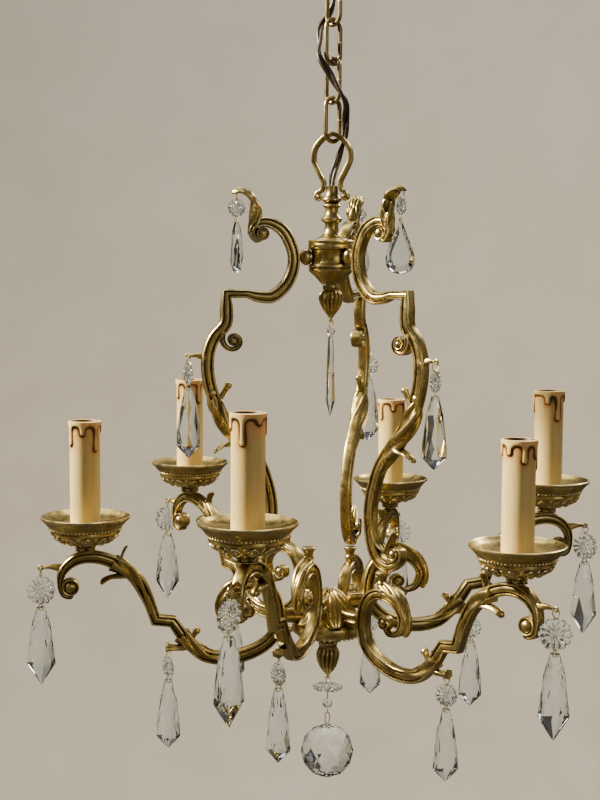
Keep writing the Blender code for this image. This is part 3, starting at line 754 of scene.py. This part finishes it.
def lug_shape(reach):
    """A lug of the dish, in metres: a tongue with two round ribs, from inside the dish out to an arm."""
    ribs = []
    for centre in (0.5, -0.5):
        for k in range(9):
            angle = math.radians(90 - 180 * k / 8)
            ribs.append((centre + 0.5 * math.sin(angle), 0.62 + 0.38 * math.cos(angle)))
    outline = ribs + [(h, -w) for h, w in reversed(ribs)]
    stations = [(0.018, 0, 0.0066, 0.0056), (0.0255, 0, 0.0068, 0.0058), (0.033, 0, 0.0066, 0.0054)]
    stations += [(reach - 0.0012, 0, 0.0062, 0.005), (reach, 0, 0.0054, 0.0042)]
    return shape("lug", lambda bm: sweep(bm, smooth(stations, 3), outline), unit=METRE)


def pan_shape():
    """The bowl with its rolled rim, a beaded band, a cup of scrolls and buds, and a lobed knob."""
    outside = [
        (36.6, 0.5), (37.4, 0.1), (37.6, -0.8), (37.3, -1.9), (36.4, -2.6), (35.2, -3.6), (33.8, -5.2),
        (32.6, -6.2), (32.4, -7), (31.6, -7.6), (30.6, -8.6), (30, -10.4), (29.2, -11.4), (29.4, -12.2),
        (29.4, -13.4), (28.6, -14.2), (27.6, -15), (26.2, -16.6), (24, -18.6), (21.2, -20.4), (18, -22),
        (14.6, -23.2), (11.2, -24), (9.6, -24.4), (9.6, -25), (7, -25.4), (6.2, -26.2), (6.2, -28.4),
        (8.4, -29), (8.4, -29.5),
    ]
    inside = [
        (4.9, -29.5), (4.9, -6.2), (15, -6.2), (16.2, -5.8), (17.2, -6), (23, -5.2), (30, -3.8),
        (33.8, -1.8), (35.4, -0.2),
    ]

    def build(bm):
        lathe(bm, outside + inside, 72)
        for number in range(60):
            ball(bm, turn(6 * number, "Z") @ at(30.1, -9.8), (1, 1.1, 1), 8)
        for number in range(12):
            out = turn(30 * number, "Z")
            ball(bm, out @ at(24.8, -18.2) @ turn(-40, "Y"), (3.6, 2.4, 1.4), 12)
            slope = out @ at(24.7, -18.4) @ turn(-40, "Y")
            pipe(bm, [slope @ Vector((u, v, 0)) for u, v in around(16, 4.6, 3.4)], 0.6, 6, cyclic=True)
            between_buds = turn(30 * number + 15, "Z")
            ball(bm, between_buds @ at(27.2, -15.8), (1.3, 1.3, 1.3), 8)
            ball(bm, between_buds @ at(18.5, -22.2) @ turn(-24, "Y"), (3, 1.2, 1), 8)
        for number in range(6):
            ball(bm, turn(60 * number, "Z") @ at(5.8, -27.2), (3, 3, 2.2), 12)

    return shape("drip_pan", build)


def lampholder_shape():
    """A moulded holder with its threaded mouth, centre contact and the nipple that clamps the pan."""
    outside = [
        (8.8, 55), (9.8, 54.6), (10, 53.8), (10, 43), (9.4, 42.2), (9.4, 10), (10, 9.2), (10, -5.6),
        (9.6, -5.8), (4.6, -5.8), (4.6, -29.6), (0, -29.6),
    ]
    thread = []
    for k in range(12):
        z = 30 + 2 * k
        thread += [(7.3, z), (6.8, z + 0.7), (6.8, z + 1.3)]
    bottom = [(0, 29.2), (2, 29.2), (2.4, 28.6), (7.2, 28.4)]
    return turned("lampholder", bottom + thread + outside, 40)


def rose_shape(low, top):
    """The ceiling cover, between two heights above the hub's base."""
    profile = [(0, top), (41.8, top), (42, top - 0.4), (42, top - 3.2), (41.2, top - 4.2), (39.2, top - 5)]
    profile += [(38.6, top - 6.6), *smooth([(37.8, top - 7.4), (35, top - 12), (29, top - 16.8)], 3)]
    profile += [(23, low + 4.2), (17.6, low + 2.4), (16.8, low + 1.2), (14, low + 0.8)]
    profile += [(12.4, low), (0, low)]
    return turned("ceiling_rose", profile, 64)


def link_shape(length):
    """A link of round wire in the x-z plane, with the seam of its weld."""
    radius = (LINK_WIDTH - LINK_WIRE) / 2
    straight = (length - LINK_WIDTH) / 2
    points = []
    for end, start in ((1, 0), (-1, 180)):
        for k in range(17):
            x, z = polar(radius, math.radians(start + 180 * k / 16))
            points.append(Vector((x, 0, end * straight + z)))
    seam = [(0, 1), (2.15, 0.7), (2.22, 0), (2.15, -0.7), (0, -1)]

    def build(bm):
        pipe(bm, points, LINK_WIRE / 2, 16, cyclic=True)
        lathe(bm, seam, 16, at(radius, 0))

    return shape("chain_link", build)


# Candle sleeves

SLEEVE_OUTSIDE = 12.7
SLEEVE_INSIDE = 11.3
SLEEVE_FOOT = -5.8
SLEEVE_TOP = 80.6
SLEEVE_SIDES = 128
WAX_BAND = 3.6  # how far the wax covers the whole top
WAX_THICK = 1.3
WAX_EDGE = 1.7  # how far inside its edge it is at full thickness
WAX_MERGE = 5.2  # how softly runs flow together
STAIN_SHADE_MIDDLE = 0.3  # of the dark line just outside the wax: a brown outline and partly painted shade in the crease at the wax's edge
STAIN_SHADE_HALF = 0.7  # the dark line's half width, give or take its waver
STAIN_SHADE_WAVER = 0.3
STAIN_FADE = 2.5  # how far the paler stain reaches beyond it
WAX_REACH = 36  # the sleeve has fine rows this far down


def wax_distance(angle, down, runs):
    """How far a point of the sleeve is outside the wax, or inside it where negative."""
    nearest = down - WAX_BAND
    for middle, length, half in runs:
        apart = (angle - middle + math.pi) % (2 * math.pi) - math.pi
        past = max(down - length + half, 0)
        distance = math.hypot(apart * SLEEVE_OUTSIDE, past) - half * (0.72 + 0.28 * min(down / length, 1))
        share = min(max(0.5 + 0.5 * (nearest - distance) / WAX_MERGE, 0), 1)
        nearest = nearest + (distance - nearest) * share - WAX_MERGE * share * (1 - share)
    return nearest


def sleeve_shape(seed):
    """A tube with runs of wax down from its top. An amber stain and a dark line along their edges, the
    line partly painted shade in the crease, are stored at each vertex, with painted shade, near black,
    inside the tube.
    """
    draw = random.Random(seed)
    count = draw.choice((6, 7))
    start = draw.uniform(0, 2 * math.pi)
    runs = []
    for k in range(count):
        middle = (start + 2 * math.pi * (k + draw.uniform(-0.22, 0.22)) / count) % (2 * math.pi)
        length = (10, 20, 13, 24, 9, 18, 14)[k] * draw.uniform(0.85, 1.15)
        runs.append((middle, length, draw.uniform(1.6, 2.6)))
    heights = [SLEEVE_FOOT + (SLEEVE_TOP - WAX_REACH - SLEEVE_FOOT) * k / 6 for k in range(7)]
    heights += [SLEEVE_TOP - WAX_REACH * (1 - k / 72) for k in range(1, 73)]
    bm = bmesh.new()
    rings, stains_and_shade = [], []
    for z in heights:
        ring = []
        for k in range(SLEEVE_SIDES):
            angle = 2 * math.pi * k / SLEEVE_SIDES
            distance = wax_distance(angle, SLEEVE_TOP - z, runs)
            rise = min(max(-distance / WAX_EDGE, 0), 1)
            radius = SLEEVE_OUTSIDE + WAX_THICK * math.sqrt(rise * (2 - rise))
            ring.append(bm.verts.new((*polar(radius, angle), z)))
            # the dark line along the wax's edge: a brown outline that is partly painted shade in the
            # crease under the wax; the paler glow beyond it is stain
            half = STAIN_SHADE_HALF + STAIN_SHADE_WAVER * math.sin(5 * angle + 0.3 * z)
            edge = math.exp(-(((distance - STAIN_SHADE_MIDDLE) / half) ** 2))
            glow = 0.36 * math.exp(-max(distance, 0) / STAIN_FADE) * (distance > 0)
            stains_and_shade.append(min(0.80 * edge + glow, 0.9))
        rings.append(ring)
    # painted shade: the bore's walls get the full value, so the inside of the tube is painted near black
    # as shade; the lip at the top stays clear
    bore = [(SLEEVE_INSIDE, SLEEVE_TOP - 0.4, 1.0), (SLEEVE_INSIDE, SLEEVE_FOOT, 1.0)]
    for radius, z, stain_and_shade in [(SLEEVE_INSIDE + 0.8, SLEEVE_TOP + 0.4, 0.0), *bore]:
        rings.append([bm.verts.new((x, y, z)) for x, y in around(SLEEVE_SIDES, radius)])
        stains_and_shade += [stain_and_shade] * SLEEVE_SIDES
    skin(bm, rings, cyclic=True)
    data = mesh_of(bm, "candle_sleeve", 60)
    data.attributes.new("stain_and_shade", "FLOAT", "POINT").data.foreach_set("value", stains_and_shade)
    return data


# Glass


def hull_of(bm, name):
    """The convex solid round the points, with its flat facets whole."""
    made = bmesh.ops.convex_hull(bm, input=bm.verts)
    spare = dict.fromkeys(made["geom_interior"] + made["geom_unused"])
    loose = [item for item in spare if isinstance(item, bmesh.types.BMVert)]
    bmesh.ops.delete(bm, geom=loose, context="VERTS")
    bmesh.ops.dissolve_limit(bm, angle_limit=math.radians(1), verts=bm.verts, edges=bm.edges)
    return mesh_of(bm, name, sharp=0)


def cut_drop(name, top, length, half_width, half_thick, corners, girdles):
    """A cut drop. A girdle's corners are at shares of the length, width and thickness, in turns."""
    bm = bmesh.new()
    for row, (down, wide, thick) in enumerate(girdles):
        for k in range(corners):
            angle = 2 * math.pi * (k + 0.5 * (row % 2)) / corners
            x = half_width * wide * math.cos(angle)
            bm.verts.new((x, half_thick * thick * math.sin(angle), top - length * down))
    return hull_of(bm, name)


WIDEST = 0.6495  # the most that sin(a) * sin(a / 2) ** 2 comes to


def pear_drop(name, top, length, half_width, half_thick):
    """A flat pear with a wide table on both faces and a cut edge."""
    bm = bmesh.new()
    middle = top - 0.60 * length
    for scale, thick in ((0.62, 1.0), (0.90, 0.55), (1.0, 0.0)):
        for k in range(22):
            angle = 2 * math.pi * k / 22
            x = half_width * math.sin(angle) * math.sin(angle / 2) ** 2 / WIDEST
            z = top - length * (1 - math.cos(angle)) / 2
            for side in (1, -1):
                bm.verts.new((x * scale, side * half_thick * thick, middle + (z - middle) * scale))
    return hull_of(bm, name)


def rosette_shape(radius, place):
    """A round plate cut as a flower: twelve petals with ridges between them, and a button."""
    petals = 12
    rings = []
    bm = bmesh.new()
    rows = [
        (0.0, 0.0, 4.2, 4.2), (0.15, 0.15, 3.8, 3.8), (0.50, 0.46, 3.6, 2), (0.88, 0.80, 2.2, 1),
        (1.0, 0.89, 0.6, 0.4), (0.98, 0.87, -0.8, -0.8), (0.60, 0.52, -2.4, -1.2), (0.0, 0.0, -2.6, -2.6),
    ]
    for petal_share, gap_share, petal_y, gap_y in rows:
        ring = []
        for k in range(4 * petals if petal_share else 1):
            angle = math.pi * k / (2 * petals)
            full = (1.0, 0.84, 0.0, 0.84)[k % 4]
            share = gap_share + (petal_share - gap_share) * full
            y = gap_y + (petal_y - gap_y) * full
            point = Vector((radius * share * math.cos(angle), y, radius * share * math.sin(angle)))
            ring.append(bm.verts.new(place @ point))
        rings.append(ring)
    skin(bm, rings)
    return mesh_of(bm, "rosette", sharp=0)


def faceted_ball(name, middle, radius):
    bm = bmesh.new()
    for row, tilt in enumerate((-78, -52, -27, 0, 27, 52, 78)):
        corners = 6 if abs(tilt) > 70 else 10
        flat, rise = polar(radius, math.radians(tilt))
        for k in range(corners):
            angle = 2 * math.pi * (k + 0.5 * (row % 2)) / corners
            bm.verts.new((*polar(flat, angle), middle + rise))
    return hull_of(bm, name)


def wire_loop(bm, top, low, half, start=0, end=90):
    """A closed wire loop, whose plane turns from one angle to the other on its way down."""
    points = []
    for k in range(28):
        angle = 2 * math.pi * k / 28
        z = (top + low) / 2 + (top - low) / 2 * math.cos(angle)
        heading = math.radians(start + (end - start) * (1 - math.cos(angle)) / 2)
        points.append(Vector((*polar(half * math.sin(angle), heading), z)))
    pipe(bm, points, 0.45, 8, cyclic=True)


HOOK_DROP = 6  # from the hole down to the rosette
WIRE_LOOP_TOP = 1
KITE = ((0, 0.30, 0.50), (0.20, 0.62, 0.85), (0.46, 0.84, 1.0), (0.73, 1.0, 0.95), (1.0, 0.05, 0.10))
SLENDER = ((0, 0.29, 0.46), (0.28, 0.67, 0.86), (0.60, 0.92, 1.0), (0.83, 1.0, 0.92), (1.0, 0.06, 0.10))
PRISM = ((0, 0.45, 0.45), (0.05, 0.55, 0.55), (0.80, 1.0, 1.0), (1.0, 0.08, 0.08))


def drop_pieces(joints, node, rosette, glass_data, looks, headings):
    """A rosette on its wire and a cut drop wired below it, each turned to its own compass heading."""
    crystal, pin_brass = looks
    place, azimuth = hole_place(joints, node)
    plate_yaw, glass_yaw = (-heading - azimuth for heading in headings)
    low = -HOOK_DROP - 2 * rosette
    drop_piece(node, "glass", glass_data, crystal, "glass", place @ turn(glass_yaw, "Z"), node)
    plate = rosette_shape(rosette, at(0, -HOOK_DROP - rosette))
    drop_piece(node, "rosette", plate, crystal, "glass", place @ turn(plate_yaw, "Z"))
    hook = (WIRE_LOOP_TOP, -HOOK_DROP - 2.2, 2.6, 0, plate_yaw + 90)
    clip = (low + 2.2, low - 4.6, 1.8, plate_yaw + 90, glass_yaw)
    wires = shape("wires", lambda bm: wire_loop(bm, *hook), lambda bm: wire_loop(bm, *clip))
    drop_piece(node, "wires", wires, pin_brass, "antique_brass", place)


def make_glass(joints, looks):
    """Every drop but the two in the middle, with the headings of its rosette and its glass."""
    end = cut_drop("end_glass", -33.6, 66, 12.5, 8.8, 8, KITE)
    nub = cut_drop("nub_glass", -27, 60, 10.8, 7.4, 8, SLENDER)
    top = pear_drop("top_glass", -23, 46, 12.2, 4)
    end_headings = ((160, 140), (205, 200), (170, 150), (110, 122), (172, 172), (140, 150))
    nub_headings = ((150, 170), (165, 180), (190, 150), (215, 190), (220, 175), (130, 140))
    side_headings = ((150, 170), (100, 150), (230, 165))
    top_headings = ((165, 140), (100, 160), (165, 235))
    for i in range(LIGHT_COUNT):
        drop_pieces(joints, f"end_drop_{i + 1}", 12.8, end, looks, end_headings[i])
        drop_pieces(joints, f"nub_drop_{i + 1}", 9.5, nub, looks, nub_headings[i])
    for i in range(BAR_COUNT):
        drop_pieces(joints, f"side_drop_{i + 1}", 9.5, nub, looks, side_headings[i])
        drop_pieces(joints, f"top_drop_{i + 1}", 7.5, top, looks, top_headings[i])


def make_spear(joints, looks):
    """A bead and a long prism under the hub."""
    crystal, pin_brass = looks
    name = "spear_drop"
    place, _ = hole_place(joints, name)
    prism = cut_drop("spear", -13, 70, 4.4, 4.4, 6, PRISM)
    drop_piece(name, "glass", prism, crystal, "glass", place, name)
    drop_piece(name, "bead", faceted_ball("spear_bead", -9.2, 3.8), crystal, "glass", place)

    def wires(bm):
        wire_loop(bm, WIRE_LOOP_TOP, -6.2, 2.2)
        pipe(bm, [Vector((0, 0, -5.6)), Vector((0, 0, -16))], 0.4, 8)

    drop_piece(name, "wires", shape("wires", wires), pin_brass, "antique_brass", place)


def make_ball(joints, looks):
    """A flat rosette, a bead and the big cut ball under the acorn."""
    crystal, pin_brass = looks
    name = "ball_drop"
    place, _ = hole_place(joints, name)
    drop_piece(name, "glass", faceted_ball("big_ball", -67, 23.5), crystal, "glass", place, name)
    plate = rosette_shape(13.5, at(0, -9) @ turn(-90, "X"))
    drop_piece(name, "rosette", plate, crystal, "glass", place)
    drop_piece(name, "bead", faceted_ball("ball_bead", -24, 4.6), crystal, "glass", place)

    def wires(bm):
        wire_loop(bm, WIRE_LOOP_TOP, -5.4, 2.2)
        pipe(bm, [Vector((0, 0, -4.8)), Vector((0, 0, -33))], 0.4, 8)
        wire_loop(bm, -31.8, -45, 2.2)

    drop_piece(name, "wires", shape("wires", wires), pin_brass, "antique_brass", place)


# Flex

FLEX_CORE = 1.7  # a core's radius
FLEX_APART = 0.9  # how far a core's middle is from the flex's, as a share of that
FLEX_OFFSET = 11.2  # from the axis
FLEX_BULGE = 3  # further out, half way past a link
FLEX_START = 345  # its azimuth at the rose
FLEX_LAY = 85  # length over which the two cores twist once round each other
FLEX_IN_ROSE = 12  # its upper end, above the first link's upper hinge
FLEX_LEAVES = 6  # below the lowest link's middle, where it turns to the neck
FLEX_ROWS = 136
FLEX_TAIL = ((8.8, 7.8, 126), (5, 5.8, 112), (0.8, 1.2, 96), (0, 0, 86), (0, 0, 75), (0, 0, 66))


def share_past(drop, pitch):
    """The share of a pitch that a drop below a link's middle makes, softened where it starts and ends."""
    spread = [(drop + 2 * k) / pitch for k in range(-4, 5)]
    return sum(min(max(t, 0), 1) for t in spread) / len(spread)


def flex_line(heights, pitch, reach):
    """The flex's middle line, above the hub's base: a quarter turn past each link, then into the neck."""
    points = []
    top = heights[0] + reach + FLEX_IN_ROSE
    low = heights[-1] - FLEX_LEAVES
    for k in range(FLEX_ROWS + 1):
        z = top + (low - top) * k / FLEX_ROWS
        shares = [share_past(middle - z, pitch) for middle in heights[:-1]]
        azimuth = math.radians(FLEX_START - 90 * sum(shares))
        bulge = sum(math.sin(math.pi * share) ** 2 for share in shares)
        y, x = polar(FLEX_OFFSET + FLEX_BULGE * bulge, azimuth)
        points.append((x, y, z))
    tail = smooth([points[-1], *FLEX_TAIL], 8)
    return [Vector(point) for point in points + tail[1:]]


def core_lines(points):
    """The middle lines of the two cores, which twist slowly round each other."""
    lines = ([], [])
    travelled = 0.0
    normal = None
    for i, here in enumerate(points):
        way = (points[min(i + 1, len(points) - 1)] - points[max(i - 1, 0)]).normalized()
        normal = way.orthogonal() if normal is None else normal
        normal = (normal - way * normal.dot(way)).normalized()
        if i:
            travelled += (here - points[i - 1]).length
        twist = Matrix.Rotation(2 * math.pi * travelled / FLEX_LAY, 3, way)
        side = twist @ normal * FLEX_CORE * FLEX_APART
        lines[0].append(here + side)
        lines[1].append(here - side)
    return lines


def make_flex(look):
    """One stretch for each joint of the chain, split at the links' middles."""
    hub = hub_place()
    base = hub.translation.z
    boxes = [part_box(f"chain_link_{i + 1}") for i in range(LINK_COUNT)]
    heights = [((low.z + high.z) / 2 - base) / MM for low, high in boxes]
    pitch = heights[0] - heights[1]
    reach = ((boxes[0][1].z - boxes[0][0].z) / MM - LINK_WIRE) / 2
    lines = core_lines(flex_line(heights, pitch, reach))
    hinges = [*[height + reach for height in heights], heights[-1] - reach]
    borders = [math.inf, *heights, -math.inf]
    for k, hinge in enumerate(hinges):
        bm = bmesh.new()
        for line in lines:
            kept = [i for i, point in enumerate(line) if borders[k + 1] <= point.z <= borders[k]]
            last = min(kept[-1] + 1, len(line) - 1)
            pipe(bm, line[kept[0] : last + 1], FLEX_CORE, 14)
        item = new_item(f"flex_{k + 1}", mesh_of(bm, "flex", 50), hub)
        item.data.materials.append(look)
        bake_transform(item)
        if k == 0:
            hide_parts("flex")


# The whole


def make_chain(look):
    for i in range(LINK_COUNT):
        name = f"chain_link_{i + 1}"
        low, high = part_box(name)
        place = at(0, (low.z + high.z) / 2) @ turn(90 - LINK_AZIMUTHS[i % 2], "Z")
        data = link_shape((high.z - low.z) / MM)
        piece(f"{name}_wire", data, look, f"link_{i + 1}", place, (name,))


def make_rose(look):
    """The cover, and on it the eye, the flex's collar and two screws."""
    hub = hub_place()
    top = -hub.translation.z / MM
    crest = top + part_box("chain_link_1")[1].z / MM - LINK_WIRE / 2
    cover = rose_shape(crest + 7.5, top)
    piece("ceiling_rose_cover", cover, look, "ceiling", hub, ("ceiling_rose",))
    radius = 8
    middle = crest - LINK_WIRE - 0.3 + radius

    def build(bm):
        out = turn(90 - LINK_AZIMUTHS[1], "Z")
        ring = [out @ Vector((u, 0, middle + v)) for u, v in around(36, radius)]
        pipe(bm, ring, LINK_WIRE / 2, 14, cyclic=True)
        y, x = polar(FLEX_OFFSET, math.radians(FLEX_START))
        outlet = at(x, crest + 7.2, y)
        lathe(bm, [(4, 2.6), (5.6, 2), (6, 0.6), (5.4, -0.8), (4, -1)], 28, outlet)
        for side in (1, -1):
            ball(bm, at(31 * side, top - 16.6), (3, 3, 2), 14)

    piece("ceiling_rose_eye", shape("rose_eye", build), look, "ceiling", hub)


def make_hub(look):
    hub = hub_place()
    cage_piece("bail_strap", bail_shape(), look, hub, "bail")
    cage_piece("hub_neck_turning", neck_shape(), look, hub, "hub_neck")
    cage_piece("hub_cup_turning", cup_shape(), look, hub, "hub_cup")
    cage_piece("hub_finial_turning", hub_finial_shape(), look, hub, "hub_finial")
    cage_piece("finial_ears", shape("finial_ears", tip_ears), look, hub @ turn(90, "Z"))
    cage_piece("dish_turning", dish_shape(), look, hub, "dish")
    cage_piece("bottom_finial_acorn", acorn_shape(), look, hub, "bottom_finial")


def make_castings(look):
    hub = hub_place()
    bar, arm = bar_shape(), arm_shape()
    for i in range(BAR_COUNT):
        name = f"cage_bar_{i + 1}"
        cage_piece(f"{name}_casting", bar, look, bar_place(i + 1), name)
    for i in range(LIGHT_COUNT):
        name = f"arm_{i + 1}"
        place = arm_place(i + 1)
        cage_piece(f"{name}_casting", arm, look, place, name)
        lift = place.translation.z - hub.translation.z
        inset = (place.inverted() @ hub).translation.x
        lug_place = hub @ place.to_3x3().to_4x4() @ at(0, LUG_HEIGHT + lift / 2)
        cage_piece(f"dish_lug_{i + 1}", lug_shape(LUG_REACH - inset), look, lug_place)


def make_lights(brass, cream, black):
    pan, holder = pan_shape(), lampholder_shape()
    for i in range(LIGHT_COUNT):
        place = light_place(i + 1)
        name = f"drip_pan_{i + 1}"
        cage_piece(f"{name}_bowl", pan, brass, place, name)
        name = f"lampholder_{i + 1}"
        piece(f"{name}_moulding", holder, black, "cage", place, (name,))
        name = f"candle_sleeve_{i + 1}"
        piece(f"{name}_wax", sleeve_shape(i + 3), cream, f"sleeve_{i + 1}", place, (name,))


# Studio

FLAG_COUNT = 8


def make_backdrop():
    """A pale bowl all round: floor, cove and wall."""
    look, tree, shader, place = new_look("studio_paint")
    tone = noise(tree, place, 3, 3)
    colour = ramp(tree, tone, ((0.3, (0.62, 0.57, 0.47)), (0.7, (0.67, 0.62, 0.52))))
    feed(tree, shader, {"Base Color": colour, "Roughness": 0.9})
    floor, cove, wall = -3.0, 1.8, 5.4
    profile = [(0, floor), (wall - cove, floor)]
    for k in range(1, 13):
        angle = math.radians(90 * k / 12)
        rise, out = polar(cove, angle)
        profile.append((wall - cove + out, floor + cove - rise))
    profile.append((wall, 3.2))
    data = shape("studio", lambda bm: lathe(bm, profile, 96, capped=False), sharp=60, unit=METRE)
    data.materials.append(look)
    new_item("studio_floor", data)


def make_flag(name, look, size, place, seen_through):
    """A dark screen that cameras and shadows don't see; the view through glass sees it only if asked."""
    matrix = Matrix.Diagonal((*size, 1))
    cube = shape(name, lambda bm: bmesh.ops.create_cube(bm, size=1, matrix=matrix), sharp=30, unit=METRE)
    cube.materials.append(look)
    item = new_item(name, cube, place)
    item.visible_camera = False
    item.visible_shadow = False
    item.visible_transmission = seen_through


def make_flags():
    """A ring of dark screens with gaps between them, and one under the floor's reflection."""
    look = plain_look("flag_cloth", (0.020, 0.017, 0.013), (0.035, 0.030, 0.024), 40, 0.8)
    for number in range(FLAG_COUNT):
        azimuth = 360 / FLAG_COUNT * number + 12
        out = turn(-azimuth, "Z") @ at(0, -0.05 + 0.25 * (number % 2), 3.4)
        make_flag(f"flag_{number + 1}", look, (2.05, 0.02, 2.7), out, number % 2 == 0)
    make_flag("flag_low", look, (6.2, 6.2, 0.02), at(0, -1.30), False)


def make_light(name, size, energy, place, target, colour):
    data = bpy.data.lights.new(name, "AREA")
    data.size = size
    data.energy = energy
    data.color = colour
    item = new_item(name, data, Matrix.Translation(place))
    item.rotation_euler = (Vector(target) - Vector(place)).to_track_quat("-Z", "Y").to_euler()


def make_studio():
    make_backdrop()
    make_flags()
    world = bpy.data.worlds.new("studio")
    bpy.context.scene.world = world
    world.use_nodes = True
    background = world.node_tree.nodes["Background"]
    feed(world.node_tree, background, {"Color": (0.86, 0.90, 1.0, 1), "Strength": 0.12})
    middle = (0, 0, -0.4)
    make_light("key", 0.45, 370, (-2.10, -0.72, 1.25), middle, (1.0, 0.93, 0.80))
    make_light("fill", 0.9, 6, (1.9, -1.6, 0.2), middle, (0.90, 0.94, 1.0))
    make_light("back", 0.6, 30, (0.9, 2.1, 1.2), middle, (1.0, 0.95, 0.86))
    make_light("backdrop", 2.5, 95, (-0.6, 1.2, 2.4), (-0.9, 3.6, -0.6), (1.0, 0.97, 0.92))


def make_camera():
    data = bpy.data.cameras.new("camera")
    data.lens = 61.673
    data.sensor_width = 36
    item = new_item("camera", data, Matrix.Translation((0.3502, -1.1346, -0.290)))
    item.rotation_euler = [math.radians(a) for a in (85.187, -0.396, 18.45)]
    bpy.context.scene.camera = item


def main():
    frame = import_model()
    make_camera()
    gilt = brass_look("gilt_brass", (0.60, 0.43, 0.125), (0.32, 0.24, 0.078), (0.115, 0.080, 0.033))
    chain_colours = ((0.30, 0.215, 0.085), (0.18, 0.13, 0.06), (0.10, 0.06, 0.025))
    chain_brass = brass_look("chain_brass", *chain_colours, 0.30, 0.5)
    pin_brass = brass_look("pin_brass", (0.80, 0.66, 0.38), (0.60, 0.48, 0.26), (0.30, 0.18, 0.08))
    crystal = glass_look()
    cream = candle_look()
    black = plain_look("black_moulding", (0.020, 0.018, 0.016), (0.05, 0.045, 0.04), 220, 0.42)
    cover = plain_look("flex_cover", (0.030, 0.018, 0.010), (0.075, 0.048, 0.028), 400, 0.38)
    turned_steel = (300, 0.34, 1.0, (1.0, 1.0, 0.2))
    steel = plain_look("zinc_steel", (0.42, 0.42, 0.41), (0.62, 0.62, 0.60), *turned_steel)
    make_flex(cover)
    make_chain(chain_brass)
    make_rose(chain_brass)
    make_hub(gilt)
    make_castings(gilt)
    make_lights(gilt, cream, black)
    for make in (make_glass, make_spear, make_ball):
        make(frame["joints"], (crystal, pin_brass))
    tube = frame["nodes"]["hub_tube"].data
    tube.materials.clear()
    tube.materials.append(steel)
    make_studio()


main()
